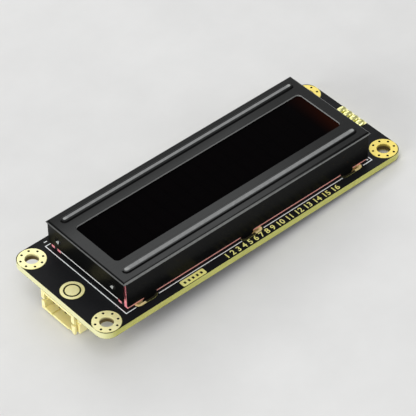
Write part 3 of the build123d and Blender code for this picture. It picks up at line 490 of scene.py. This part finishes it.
def lacquered_steel():
    """Black lacquer on rolled steel, with a painted grey sheen on top and painted highlights."""
    material, tree, shader, place = start_material("black_lacquered_steel")
    grain = hairlines(tree, place, GRAIN_STRETCH, GRAIN_CONTRAST)
    cloud = mottled(tree, place, 45.0)
    # A mottle that breaks up the painted highlights along the folds and the crests.
    highlight_breaks = mottled(tree, place, 1400.0, *HIGHLIGHT_BREAK_RANGE)
    where = split(tree, place)
    facing = face_direction(tree)
    height = where["Z"]
    off_centre = absolute(tree, where["X"])

    # Painted grey sheen with the grain: flat top, start of each fold and far side of each rib.
    grey = blend_colours(tree, grain, SHEEN_GRAIN_DARK, SHEEN_GRAIN_LIGHT)
    grey = blend_colours(tree, cloud, grey, SHEEN_CLOUD_GREY)
    # Painted shade: the sheen is painted darker towards the right and the back.
    sheen_fade_right = ramp(tree, where["X"], *SHEEN_FADE_X)
    sheen_fade_back = ramp(tree, where["Y"], *SHEEN_FADE_Y)
    darker = calculate(tree, "MAXIMUM", sheen_fade_right, sheen_fade_back)
    darker = calculate(tree, "MULTIPLY", darker, SHEEN_FADE_SHARE)
    grey = blend_colours(tree, darker, grey, FADED_SHEEN_GREY)
    # The sheen stops short of the back and right edges, which leaves a painted dark band there.
    flat = both(
        tree, ramp(tree, facing["Z"], *FLAT_UP),
        ramp(tree, where["Y"], *BACK_BORDER), ramp(tree, where["X"], *RIGHT_BORDER),
    )
    shoulder = both(
        tree, ramp(tree, height, fold_level(0.4), BEZEL_TOP),
        ramp(tree, height, BEZEL_TOP + TOP_BLUR, BEZEL_TOP),
        ramp(tree, facing["Z"], *SHOULDER_UP),
        ramp(tree, facing["Y"], *SHOULDER_SIDE), ramp(tree, facing["X"], *SHOULDER_SIDE),
    )
    far_slope = both(
        tree, ramp(tree, height, BEZEL_TOP, BEZEL_TOP + TOP_BLUR),
        ramp(tree, facing["Y"], *FAR_SIDE),
    )
    pale = calculate(tree, "MAXIMUM", flat, calculate(tree, "MAXIMUM", shoulder, far_slope))
    colour = blend_colours(tree, pale, SLOPE_BLACK, grey)

    # The lower line of each fold gets a painted highlight, and the front one more widely at its
    # left.
    lengthways = calculate(tree, "SUBTRACT", 1.0, absolute(tree, facing["X"]))
    fold_highlight = both(
        tree, ramp(tree, height, fold_level(1.2), fold_level(1.05)),
        ramp(tree, height, fold_level(0.6), fold_level(0.75)), highlight_breaks,
        ramp(tree, lengthways, *FOLD_LENGTHWAYS),
    )
    front_fold_highlight = both(
        tree, ramp(tree, height, fold_level(1.3), fold_level(1.1)),
        ramp(tree, height, fold_level(0.35), fold_level(0.55)),
        ramp(tree, facing["Y"], *FRONT_SIDE), highlight_breaks, ramp(tree, where["X"], *FRONT_FOLD_X),
    )
    fold_highlight = calculate(tree, "MAXIMUM", fold_highlight, front_fold_highlight)
    # A painted glint: a small light-grey spot low in each pressed dimple.
    dimple_glint = both(
        tree, ramp(tree, off_centre, *DIMPLE_X),
        ramp(tree, height, *DIMPLE_Z), ramp(tree, facing["Z"], *DIMPLE_UP),
        ramp(tree, facing["Y"], *DIMPLE_FRONT), ramp(tree, facing["Y"], *DIMPLE_BACK),
    )
    colour = blend_colours(tree, dimple_glint, colour, END_GLINT_GREY)
    colour = blend_colours(tree, fold_highlight, colour, FOLD_HIGHLIGHT_GREY)

    # The front rib gets a painted highlight over its whole crest, the back one only along the top,
    # and both a brighter painted glint at their ends.
    wide = ramp(tree, height, rib_level(0.80), rib_level(0.95))
    narrow = ramp(tree, height, rib_level(0.96), rib_level(1.0))
    back_rib = ramp(tree, where["Y"], *BACK_RIB_Y)
    crest_highlight = add(tree, "ShaderNodeMix", {0: back_rib, 2: wide, 3: narrow}).outputs[0]
    colour = blend_colours(tree, both(tree, crest_highlight, highlight_breaks), colour, CREST_HIGHLIGHT_GREY)
    rib_end = ramp(tree, off_centre, *RIB_END_X)
    colour = blend_colours(tree, both(tree, narrow, rib_end), colour, END_GLINT_GREY)
    # The window's cut edge is bare steel, and its light grey is also a painted highlight.
    punched = both(
        tree, ramp(tree, off_centre, *WINDOW_X),
        ramp(tree, absolute(tree, where["Y"]), *WINDOW_Y), ramp(tree, facing["Z"], *PUNCHED_UP),
    )
    colour = blend_colours(tree, punched, colour, CUT_STEEL_AND_HIGHLIGHT)
    tree.links.new(colour, shader.inputs["Base Color"])
    tree.links.new(between(tree, grain, *LACQUER_ROUGHNESS), shader.inputs["Roughness"])
    tree.links.new(relief(tree, grain, GRAIN_DEPTH), shader.inputs["Normal"])
    shader.inputs["Specular IOR Level"].default_value = LACQUER_SPECULAR
    return material


bezel_finish = lacquered_steel()
bezel_mesh = softened("bezel", FOLD_ROUNDING, segments=3)
keep_piece("folded_bezel", bezel_mesh, bezel_finish, ["bezel"])
print("bezel faces:", len(bezel_mesh.polygons))

# %% [markdown]
# ## The display's face
# The window is a polarising film on glass. With its light off, this kind of display is almost
# perfectly black; a trace of warm red is painted at the end where the lamps stand, as a painted
# glow. Looked at closely, the squares of the characters show as a faint grid. They are worked
# out from the pitch of the characters and of the dots in each.

# %% Polariser finish
CHARACTER_PITCH = Vector((3.55 * MM, 5.95 * MM))
CHARACTER_SIZE = Vector((2.95 * MM, 5.55 * MM))
DOT_PITCH = Vector((0.60 * MM, 0.70 * MM))
DOT_FILL = 0.9
DOTS_EACH_WAY = 60
DOT_STRENGTH = 0.12
DISPLAY_HALF = Vector((8 * CHARACTER_PITCH.x, CHARACTER_PITCH.y))
GLOW_X = (27.5 * MM, 35 * MM)
GLOW_Y = (9 * MM, -8 * MM)
BACK_GLOW = 0.4
PATCH_RANGE = (0.75, 1.0)
FILM_ROUGHNESS = (0.10, 0.16)
FILM_SPECULAR = 0.008
FILM_BLACK = (0.0006, 0.0003, 0.0005, 1)
GLOW_RED = (0.028, 0.0046, 0.0008, 1)
DOT_TINT = (0.0030, 0.0022, 0.0024, 1)


def inside_cells(tree, coordinate, half, pitch, size):
    """1 where a coordinate falls inside a row of equal cells centred on zero."""
    shifted = calculate(tree, "ADD", coordinate, half)
    along = calculate(tree, "MODULO", calculate(tree, "MAXIMUM", shifted, 0.0), pitch)
    near_start = calculate(tree, "GREATER_THAN", along, (pitch - size) / 2)
    near_end = calculate(tree, "LESS_THAN", along, (pitch + size) / 2)
    in_display = calculate(tree, "LESS_THAN", absolute(tree, coordinate), half)
    return both(tree, near_start, near_end, in_display)


def dark_polariser():
    """Black film with a painted red glow at the lamp end, and the faint squares of the characters'
    dots.
    """
    material, tree, shader, place = start_material("dark_polariser")
    where = split(tree, place)
    masks = []
    for axis, k in (("X", 0), ("Y", 1)):
        along, pitch = where[axis], DOT_PITCH[k]
        cell = inside_cells(tree, along, DISPLAY_HALF[k], CHARACTER_PITCH[k], CHARACTER_SIZE[k])
        dot = inside_cells(tree, along, DOTS_EACH_WAY * pitch, pitch, pitch * DOT_FILL)
        masks.append(both(tree, cell, dot))
    # A painted red glow, strongest at the lamp end and towards the front.
    lamp_end = ramp(tree, where["X"], *GLOW_X)
    front_side = ramp(tree, where["Y"], *GLOW_Y)
    patch = mottled(tree, place, 90.0, *PATCH_RANGE)
    towards_front = calculate(tree, "MULTIPLY", front_side, 1 - BACK_GLOW)
    corner = calculate(tree, "ADD", towards_front, BACK_GLOW)
    film = blend_colours(tree, both(tree, lamp_end, corner, patch), FILM_BLACK, GLOW_RED)
    faint = calculate(tree, "MULTIPLY", both(tree, *masks), DOT_STRENGTH)
    film = blend_colours(tree, faint, film, DOT_TINT)
    tree.links.new(film, shader.inputs["Base Color"])
    smear = mottled(tree, place, 160.0, *FILM_ROUGHNESS)
    tree.links.new(smear, shader.inputs["Roughness"])
    shader.inputs["Specular IOR Level"].default_value = FILM_SPECULAR
    return material


polariser_finish = dark_polariser()
finish_nodes(polariser_finish, "front_polariser", "rear_polariser")
print("display area in mm:", [round(2 * v / MM, 1) for v in DISPLAY_HALF])

# %% [markdown]
# ## Board, lacquer, gold and print
# Four finishes share the board. The cut edge shows woven glass in pale yellow-green resin, in
# thin layers one above the other, painted paler at the two short ends as painted light from the
# side. The solder mask is black lacquer with a satin gloss. The lands are gold over nickel, pale
# and slightly matt, with the tiny pits of an etched surface. Painted shade turns them deeper
# yellow towards the right and makes their holes brown or black inside, and painted shade and
# reflection darken the slots' lands where the bezel's black tabs go through. The outline is thick
# white screen print.

# %% Board finishes
BOARD_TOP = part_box("circuit_board")[1].z
HOLE_X = 40.25 * MM
HOLE_Y = 12.65 * MM
TAB_CENTRES_X = (-28.5 * MM, -1.1 * MM, 28.6 * MM)
TAB_SHADE_REACH = (2.0 * MM, 1.7 * MM)
RING_INSIDE = (1.8 * MM, 1.9 * MM)
RING_OUTSIDE = (3.05 * MM, 2.95 * MM)
SHADED_GOLD_X = (0.0, 36 * MM)
WALL_TOP = (BOARD_TOP - 0.02 * MM, BOARD_TOP - 0.9 * MM)
WALL_FOOT = (-0.02 * MM, 0.02 * MM)
LAND_FOOT = (BOARD_TOP + 0.05 * MM, BOARD_TOP)
LAYER_STRETCH = (120.0, 120.0, 7000.0)
LAYER_CONTRAST = 2.2
LAYER_DEPTH = 0.02 * MM
FIBRE_SHARE = 0.25
LIT_END_SHARE = 0.62
EDGE_ROUGHNESS = 0.42
EDGE_SCATTER_SHARE = 0.15
EDGE_SCATTER = 0.6 * MM
SCATTER_REACH = (1.0, 0.9, 0.7)
MASK_ROUGHNESS = (0.44, 0.58)
MASK_SPECULAR = 0.06
PEEL_DEPTH = 0.006 * MM
PIT_ROUGHENING = 0.14
PIT_DEPTH = 0.002 * MM
PRINT_ROUGHNESS = 0.6
PRINT_DEPTH = 0.008 * MM
RESIN_DARK = (0.36, 0.36, 0.055, 1)
RESIN_LIGHT = (0.56, 0.56, 0.13, 1)
FIBRE_PALE = (0.72, 0.71, 0.30, 1)
LIT_END_PALE = (0.88, 0.86, 0.58, 1)
MASK_DARK = (0.0085, 0.0088, 0.0098, 1)
MASK_LIGHT = (0.0120, 0.0126, 0.0140, 1)
SHADED_GOLD = (0.88, 0.72, 0.16, 1)
HOLE_SHADE_BROWN = (0.13, 0.085, 0.018, 1)
VIA_RING_SHADE = (0.010, 0.007, 0.003, 1)
TAB_SHADE_BLACK = (0.022, 0.019, 0.006, 1)
PRINT_DARK = (0.82, 0.87, 0.87, 1)
PRINT_LIGHT = (0.93, 0.97, 0.97, 1)


def cut_board_edge():
    """Layers of glass cloth in resin, stacked over the board's thickness."""
    material, tree, shader, place = start_material("cut_board_edge")
    layers = hairlines(tree, place, LAYER_STRETCH, LAYER_CONTRAST)
    fibres = mottled(tree, place, 2600.0)
    resin = blend_colours(tree, layers, RESIN_DARK, RESIN_LIGHT)
    woven = calculate(tree, "MULTIPLY", fibres, FIBRE_SHARE)
    resin = blend_colours(tree, woven, resin, FIBRE_PALE)
    # Painted light: the short ends are painted paler, as if lit from the side.
    short_end = absolute(tree, face_direction(tree)["X"])
    lit_end = calculate(tree, "MULTIPLY", short_end, LIT_END_SHARE)
    resin = blend_colours(tree, lit_end, resin, LIT_END_PALE)
    tree.links.new(resin, shader.inputs["Base Color"])
    shader.inputs["Roughness"].default_value = EDGE_ROUGHNESS
    shader.inputs["Subsurface Weight"].default_value = EDGE_SCATTER_SHARE
    shader.inputs["Subsurface Radius"].default_value = SCATTER_REACH
    shader.inputs["Subsurface Scale"].default_value = EDGE_SCATTER
    tree.links.new(relief(tree, layers, LAYER_DEPTH), shader.inputs["Normal"])
    return material


def black_mask():
    """Black solder mask: satin, faintly blue, with a soft orange-peel surface."""
    material, tree, shader, place = start_material("black_solder_mask")
    cloud = mottled(tree, place, 140.0)
    peel = mottled(tree, place, 1500.0)
    tint = blend_colours(tree, cloud, MASK_DARK, MASK_LIGHT)
    tree.links.new(tint, shader.inputs["Base Color"])
    tree.links.new(between(tree, peel, *MASK_ROUGHNESS), shader.inputs["Roughness"])
    tree.links.new(relief(tree, peel, PEEL_DEPTH), shader.inputs["Normal"])
    shader.inputs["Specular IOR Level"].default_value = MASK_SPECULAR
    return material


def hole_distance(tree, where):
    """How far a point is from the axis of the nearest mounting hole."""
    across = calculate(tree, "SUBTRACT", absolute(tree, where["X"]), HOLE_X)
    along = calculate(tree, "SUBTRACT", absolute(tree, where["Y"]), HOLE_Y)
    offset = add(tree, "ShaderNodeCombineXYZ", {"X": across, "Y": along}).outputs[0]
    return add(tree, "ShaderNodeVectorMath", {0: offset}, operation="LENGTH").outputs["Value"]


def gold(name, low, high, rough, metal, drilled=False, tab_shade_x=()):
    """Gold over nickel with fine pits, with painted shade in drilled holes and round each shaded X.
    """
    material, tree, shader, place = start_material(name)
    cloud = mottled(tree, place, 420.0)
    pits = mottled(tree, place, 5200.0)
    tint = blend_colours(tree, cloud, (*low, 1), (*high, 1))
    where = split(tree, place)
    if drilled:
        # Painted shade: the lands turn deeper yellow towards the right.
        tint = blend_colours(tree, ramp(tree, where["X"], *SHADED_GOLD_X), tint, SHADED_GOLD)
        # Painted shade: the walls of the holes are brown inside.
        below = ramp(tree, where["Z"], *WALL_TOP)
        above = ramp(tree, where["Z"], *WALL_FOOT)
        tint = blend_colours(tree, both(tree, below, above), tint, HOLE_SHADE_BROWN)
        # Painted shade: the ring of small holes round each mounting hole is black.
        radius = hole_distance(tree, where)
        small = both(
            tree, ramp(tree, radius, *RING_INSIDE), ramp(tree, radius, *RING_OUTSIDE),
            ramp(tree, where["Z"], *LAND_FOOT), above,
        )
        tint = blend_colours(tree, small, tint, VIA_RING_SHADE)
    # Painted shade and reflection: the lands darken where the bezel's black tabs stand.
    for centre in tab_shade_x:
        away = absolute(tree, calculate(tree, "SUBTRACT", where["X"], centre))
        tint = blend_colours(tree, ramp(tree, away, *TAB_SHADE_REACH), tint, TAB_SHADE_BLACK)
    tree.links.new(tint, shader.inputs["Base Color"])
    shader.inputs["Metallic"].default_value = metal
    gloss = mottled(tree, place, 5200.0, rough, rough + PIT_ROUGHENING)
    tree.links.new(gloss, shader.inputs["Roughness"])
    tree.links.new(relief(tree, pits, PIT_DEPTH), shader.inputs["Normal"])
    return material


def white_print():
    """Thick white ink, slightly patchy."""
    material, tree, shader, place = start_material("white_screen_print")
    patch = mottled(tree, place, 2200.0)
    tint = blend_colours(tree, patch, PRINT_DARK, PRINT_LIGHT)
    tree.links.new(tint, shader.inputs["Base Color"])
    shader.inputs["Roughness"].default_value = PRINT_ROUGHNESS
    tree.links.new(relief(tree, patch, PRINT_DEPTH), shader.inputs["Normal"])
    return material


mask_finish = black_mask()
pale_pair = ((0.99, 0.91, 0.42), (1.0, 0.97, 0.56))
tan_pair = ((0.92, 0.76, 0.34), (0.98, 0.86, 0.46))
yellow_pair = ((0.97, 0.91, 0.24), (1.0, 0.97, 0.38))
land_gold = gold("plated_gold", *pale_pair, rough=0.42, metal=0.35, drilled=True)
slot_gold = gold("slot_gold", *tan_pair, rough=0.5, metal=0.2, tab_shade_x=TAB_CENTRES_X)
flat_gold = gold("pale_gold", *pale_pair, rough=0.42, metal=0.35)
matt_gold = gold("matt_gold", *yellow_pair, rough=0.45, metal=0.1)
finish_nodes(cut_board_edge(), "circuit_board")
finish_nodes(mask_finish, "solder_mask_top", "solder_mask_bottom")
finish_nodes(land_gold, "plated_mounting_holes")
finish_nodes(slot_gold, "plated_tab_slots")
finish_nodes(flat_gold, "gold_roundel", "backlight_pads", "contact_fingers", "socket_pads")
finish_nodes(matt_gold, "gold_label")
finish_nodes(white_print(), "silkscreen_outline")
print("board finishes done")

# %% [markdown]
# ## Rubber, plastics and tinned metal
# The strips between board and glass are pink silicone with a black core, painted lighter and
# more salmon along their long sides as painted light. The socket is ivory nylon, slightly
# see-through at its thin walls. The hidden backlight is white plastic and clear acrylic. The
# leads are tinned, and the socket's pins are painted a dull dark brown as painted shade, because
# they stand deep in its shade.

# %% Other finishes
MOULDED_SCATTER = 0.5 * MM
RUBBER_LIT_SIDE = (1.0, 0.42, 0.36)
GLASS_ROUGHNESS = 0.03
GLASS_IOR = 1.49
SKIN_DEPTH = 0.004 * MM
RUBBER_DEPTH = 0.02 * MM
LONG_SIDE = (0.6, 0.9)
SMOOTHER = 0.05
MOULDED_ROUGHER = 0.07
METAL_ROUGHER = 0.08


def moulded(
    name, low, high, rough, per_metre=700.0, scatter=0.0, depth=SKIN_DEPTH, lit_side_tint=None,
):
    """A moulded or cast surface: two close colours, a fine texture and a little scatter."""
    material, tree, shader, place = start_material(name)
    cloud = mottled(tree, place, per_metre / 4)
    skin = mottled(tree, place, per_metre * 4)
    tint = blend_colours(tree, cloud, (*low, 1), (*high, 1))
    # A painted lighter tint on faces that look along Y, standing for the light on the long sides.
    if lit_side_tint:
        lit_long_side = ramp(tree, absolute(tree, face_direction(tree)["Y"]), *LONG_SIDE)
        tint = blend_colours(tree, lit_long_side, tint, (*lit_side_tint, 1))
    tree.links.new(tint, shader.inputs["Base Color"])
    gloss = between(tree, skin, rough - SMOOTHER, rough + MOULDED_ROUGHER)
    tree.links.new(gloss, shader.inputs["Roughness"])
    tree.links.new(relief(tree, skin, depth), shader.inputs["Normal"])
    shader.inputs["Subsurface Weight"].default_value = scatter
    shader.inputs["Subsurface Radius"].default_value = SCATTER_REACH
    shader.inputs["Subsurface Scale"].default_value = MOULDED_SCATTER
    return material


def bright_metal(name, low, high, rough):
    """Tin or solder that wanders a little in colour and gloss."""
    material, tree, shader, place = start_material(name)
    cloud = mottled(tree, place, 900.0)
    tint = blend_colours(tree, cloud, (*low, 1), (*high, 1))
    tree.links.new(tint, shader.inputs["Base Color"])
    shader.inputs["Metallic"].default_value = 1.0
    uneven = mottled(tree, place, 2600.0, rough - SMOOTHER, rough + METAL_ROUGHER)
    tree.links.new(uneven, shader.inputs["Roughness"])
    return material


def clear_sheet(name, tint_low, tint_high):
    """Glass or acrylic, with a faint tint that wanders a little."""
    material, tree, shader, place = start_material(name)
    cloud = mottled(tree, place, 80.0)
    tint = blend_colours(tree, cloud, (*tint_low, 1), (*tint_high, 1))
    tree.links.new(tint, shader.inputs["Base Color"])
    shader.inputs["Transmission Weight"].default_value = 1.0
    shader.inputs["Roughness"].default_value = GLASS_ROUGHNESS
    shader.inputs["IOR"].default_value = GLASS_IOR
    return material


pink_rubber = moulded(
    "pink_silicone", (0.90, 0.24, 0.29), (0.97, 0.33, 0.37), 0.6,
    per_metre=900.0, scatter=0.35, depth=RUBBER_DEPTH, lit_side_tint=RUBBER_LIT_SIDE,
)
black_rubber = moulded("black_contact_rubber", (0.008, 0.008, 0.008), (0.016, 0.016, 0.016), 0.7)
ivory_nylon = moulded(
    "ivory_nylon", (0.88, 0.79, 0.36), (0.94, 0.87, 0.47), 0.42, per_metre=300.0, scatter=0.5,
)
white_plastic = moulded("white_plastic", (0.74, 0.75, 0.74), (0.82, 0.83, 0.81), 0.5)
black_resin = moulded(
    "poured_black_resin", (0.006, 0.006, 0.007), (0.012, 0.012, 0.013), 0.22, per_metre=250.0,
)
black_moulding = moulded("black_moulding", (0.014, 0.014, 0.015), (0.022, 0.022, 0.023), 0.6)
black_glaze = moulded("black_glaze", (0.010, 0.010, 0.012), (0.018, 0.018, 0.021), 0.3)
tan_ceramic = moulded("tan_ceramic", (0.34, 0.22, 0.13), (0.43, 0.30, 0.19), 0.5)
grey_seal = moulded("grey_seal", (0.36, 0.34, 0.31), (0.44, 0.42, 0.39), 0.6)
tin_finish = bright_metal("bright_tin", (0.62, 0.61, 0.56), (0.76, 0.75, 0.70), 0.26)
solder_finish = bright_metal("yellowed_solder", (0.76, 0.74, 0.27), (0.92, 0.90, 0.44), 0.32)
# The pins' dark brown is painted shade, for the deep shade inside the socket.
pin_shade_finish = bright_metal("shaded_pin_metal", (0.10, 0.065, 0.02), (0.17, 0.115, 0.04), 0.45)
glass_finish = clear_sheet("display_glass", (0.90, 0.95, 0.93), (0.94, 0.97, 0.96))
acrylic_finish = clear_sheet("clear_acrylic", (0.94, 0.95, 0.95), (0.97, 0.97, 0.97))

finish_nodes(pink_rubber, "strip_foam_front", "strip_foam_back")
finish_nodes(black_rubber, "strip_core_front", "strip_core_back")
finish_nodes(white_plastic, "backlight_frame", "led_board", "led_packages")
finish_nodes(white_plastic, "light_diffuser", "reflector_film")
finish_nodes(grey_seal, "cell_seal")
finish_nodes(glass_finish, "front_glass", "rear_glass", "liquid_crystal")
finish_nodes(acrylic_finish, "light_guide")
finish_nodes(solder_finish, "backlight_leads", "lead_solder")
finish_nodes(pin_shade_finish, "socket_pins")
finish_nodes(tin_finish, "socket_tabs", "driver_ic_leads", "resistor_caps", "capacitor_caps")
finish_nodes(black_resin, "controller_resin", "segment_driver_resin")
finish_nodes(black_moulding, "driver_ic_body")
finish_nodes(black_glaze, "resistor_bodies")
finish_nodes(tan_ceramic, "capacitor_bodies")
finish_nodes(ivory_nylon, "socket_housing")
print("finishes:", len(bpy.data.materials))

# %% [markdown]
# ## The socket
# It is a small injection moulding, so every edge has a slight radius. The softened copy gives
# its lip, ears and notches the soft highlights of moulded nylon.

# %% Socket
SOCKET_ROUNDING = 0.07 * MM
socket_mesh = softened("socket_housing", SOCKET_ROUNDING, segments=2)
keep_piece("ivory_socket", socket_mesh, ivory_nylon, ["socket_housing"])
print("socket faces:", len(socket_mesh.polygons))

# %% [markdown]
# ## Solder on the lamp leads
# Each of the four leads lies under a rounded heap of solder. They are equal and evenly spaced,
# so one Geometry Nodes tree makes the row: a sphere is flattened from below into a dome, and
# copies of it stand on a line of points.

# %% Solder domes
DOME_GROW = 1.07
DOME_HALF_WIDTH = 0.93 * MM
LEAD_COUNT = 4
LEAD_PITCH = 2.0 * MM


def start_geometry(name, inputs):
    """A Geometry Nodes tree with its named inputs, and the outputs of its first node."""
    tree = bpy.data.node_groups.new(name, "GeometryNodeTree")
    tree.interface.new_socket("Geometry", in_out="INPUT", socket_type="NodeSocketGeometry")
    tree.interface.new_socket("Geometry", in_out="OUTPUT", socket_type="NodeSocketGeometry")
    for label, kind in inputs:
        tree.interface.new_socket(label, in_out="INPUT", socket_type=kind)
    return tree, tree.nodes.new("NodeGroupInput").outputs


def close_geometry(tree, shape, material_socket):
    """End a tree with real geometry that carries its material."""
    real = add(tree, "GeometryNodeRealizeInstances", {"Geometry": shape})
    dressed = add(tree, "GeometryNodeSetMaterial", {
        "Geometry": real.outputs["Geometry"], "Material": material_socket,
    })
    leave = tree.nodes.new("NodeGroupOutput")
    tree.links.new(dressed.outputs["Geometry"], leave.inputs["Geometry"])


def grow(name, tree, values):
    """Run a Geometry Nodes tree with the given inputs and return the plain mesh it makes."""
    holder = bpy.data.objects.new(name + "_holder", bpy.data.meshes.new(name + "_seed"))
    bpy.context.scene.collection.objects.link(holder)
    modifier = holder.modifiers.new("grow", "NODES")
    modifier.node_group = tree
    for item in tree.interface.items_tree:
        if item.in_out == "INPUT" and item.name in values:
            modifier[item.identifier] = values[item.name]
    mesh = evaluated_mesh(holder, name)
    bpy.data.objects.remove(holder)
    return mesh


def dome_row_tree():
    """A row of flattened domes along Y."""
    tree, entry = start_geometry("Dome Row", [
        ("Count", "NodeSocketInt"), ("Pitch", "NodeSocketFloat"), ("Centre", "NodeSocketVector"),
        ("Half Size", "NodeSocketVector"), ("Material", "NodeSocketMaterial"),
    ])
    gaps = calculate(tree, "SUBTRACT", entry["Count"], 1.0)
    start = calculate(tree, "MULTIPLY", calculate(tree, "MULTIPLY", gaps, -0.5), entry["Pitch"])
    first = add(tree, "ShaderNodeCombineXYZ", {"Y": start})
    step = add(tree, "ShaderNodeCombineXYZ", {"Y": entry["Pitch"]})
    begin = add(tree, "ShaderNodeVectorMath", {0: first.outputs[0], 1: entry["Centre"]})
    points = add(tree, "GeometryNodeMeshLine", {
        "Count": entry["Count"], "Start Location": begin.outputs[0], "Offset": step.outputs[0],
    })
    ball = add(tree, "GeometryNodeMeshUVSphere", {"Segments": 32, "Rings": 20, "Radius": 1.0})
    where = split(tree, tree.nodes.new("GeometryNodeInputPosition").outputs["Position"])
    raised = calculate(tree, "MAXIMUM", where["Z"], 0.0)
    flat = add(tree, "ShaderNodeCombineXYZ", {"X": where["X"], "Y": where["Y"], "Z": raised})
    cut = add(tree, "GeometryNodeSetPosition", {
        "Geometry": ball.outputs["Mesh"], "Position": flat.outputs[0],
    })
    smooth = add(tree, "GeometryNodeSetShadeSmooth", {"Geometry": cut.outputs["Geometry"]})
    copies = add(tree, "GeometryNodeInstanceOnPoints", {
        "Points": points.outputs["Mesh"], "Instance": smooth.outputs["Geometry"],
        "Scale": entry["Half Size"],
    })
    close_geometry(tree, copies.outputs["Instances"], entry["Material"])
    return tree


solder_low, solder_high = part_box("lead_solder")
solder_size = solder_high - solder_low
dome_mesh = grow("solder_domes", dome_row_tree(), {
    "Count": LEAD_COUNT,
    "Pitch": LEAD_PITCH,
    "Centre": ((solder_low.x + solder_high.x) / 2, 0.0, solder_low.z),
    "Half Size": (DOME_GROW * solder_size.x / 2, DOME_HALF_WIDTH, solder_size.z),
    "Material": solder_finish,
})
keep_piece("solder_domes", dome_mesh, solder_finish, ["lead_solder"])
print("solder dome faces:", len(dome_mesh.polygons))

# %% [markdown]
# ## Column numerals
# Bare gold numerals stand in a line along the front edge of the board, one for each column of
# the display. They are text turned into a thin mesh, then fitted to the strip of board between
# the outline and the edge.

# %% Numerals
NUMERAL_LEFT = -8.7 * MM
NUMERAL_RIGHT = 24.3 * MM
NUMERAL_BASE = -15.67 * MM
NUMERAL_CAP = 1.54 * MM
NUMERAL_RISE = 0.025 * MM
NUMERAL_SINK = 0.005 * MM
CURVE_STEPS = 3
# These two are in the text's own units, before it is fitted to its place.
STROKE_GROWTH = 0.018
HALF_THICKNESS = 0.5
COLUMN_COUNT = 16


def text_mesh(body, name):
    """Text as a thick mesh about one unit tall, before it is fitted to its place."""
    curve = bpy.data.curves.new(name, "FONT")
    curve.body = body
    curve.size = 1.0
    curve.offset = STROKE_GROWTH
    curve.extrude = HALF_THICKNESS
    curve.resolution_u = CURVE_STEPS
    holder = bpy.data.objects.new(name + "_holder", curve)
    bpy.context.scene.collection.objects.link(holder)
    mesh = evaluated_mesh(holder, name)
    bpy.data.objects.remove(holder)
    return mesh


def fit_mesh(mesh, low, high):
    """Stretch a mesh so that its box runs from low to high."""
    starts = [min(v.co[k] for v in mesh.vertices) for k in range(3)]
    ends = [max(v.co[k] for v in mesh.vertices) for k in range(3)]
    for vertex in mesh.vertices:
        for k in range(3):
            share = (vertex.co[k] - starts[k]) / (ends[k] - starts[k])
            vertex.co[k] = low[k] + share * (high[k] - low[k])
    mesh.update()


mask_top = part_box("solder_mask_top")[1].z
numeral_mesh = text_mesh(" ".join(str(k + 1) for k in range(COLUMN_COUNT)), "column_numerals")
fit_mesh(
    numeral_mesh,
    (NUMERAL_LEFT, NUMERAL_BASE, mask_top - NUMERAL_SINK),
    (NUMERAL_RIGHT, NUMERAL_BASE + NUMERAL_CAP, mask_top + NUMERAL_RISE),
)
keep_piece("column_numerals", numeral_mesh, matt_gold)
print("numeral faces:", len(numeral_mesh.polygons))
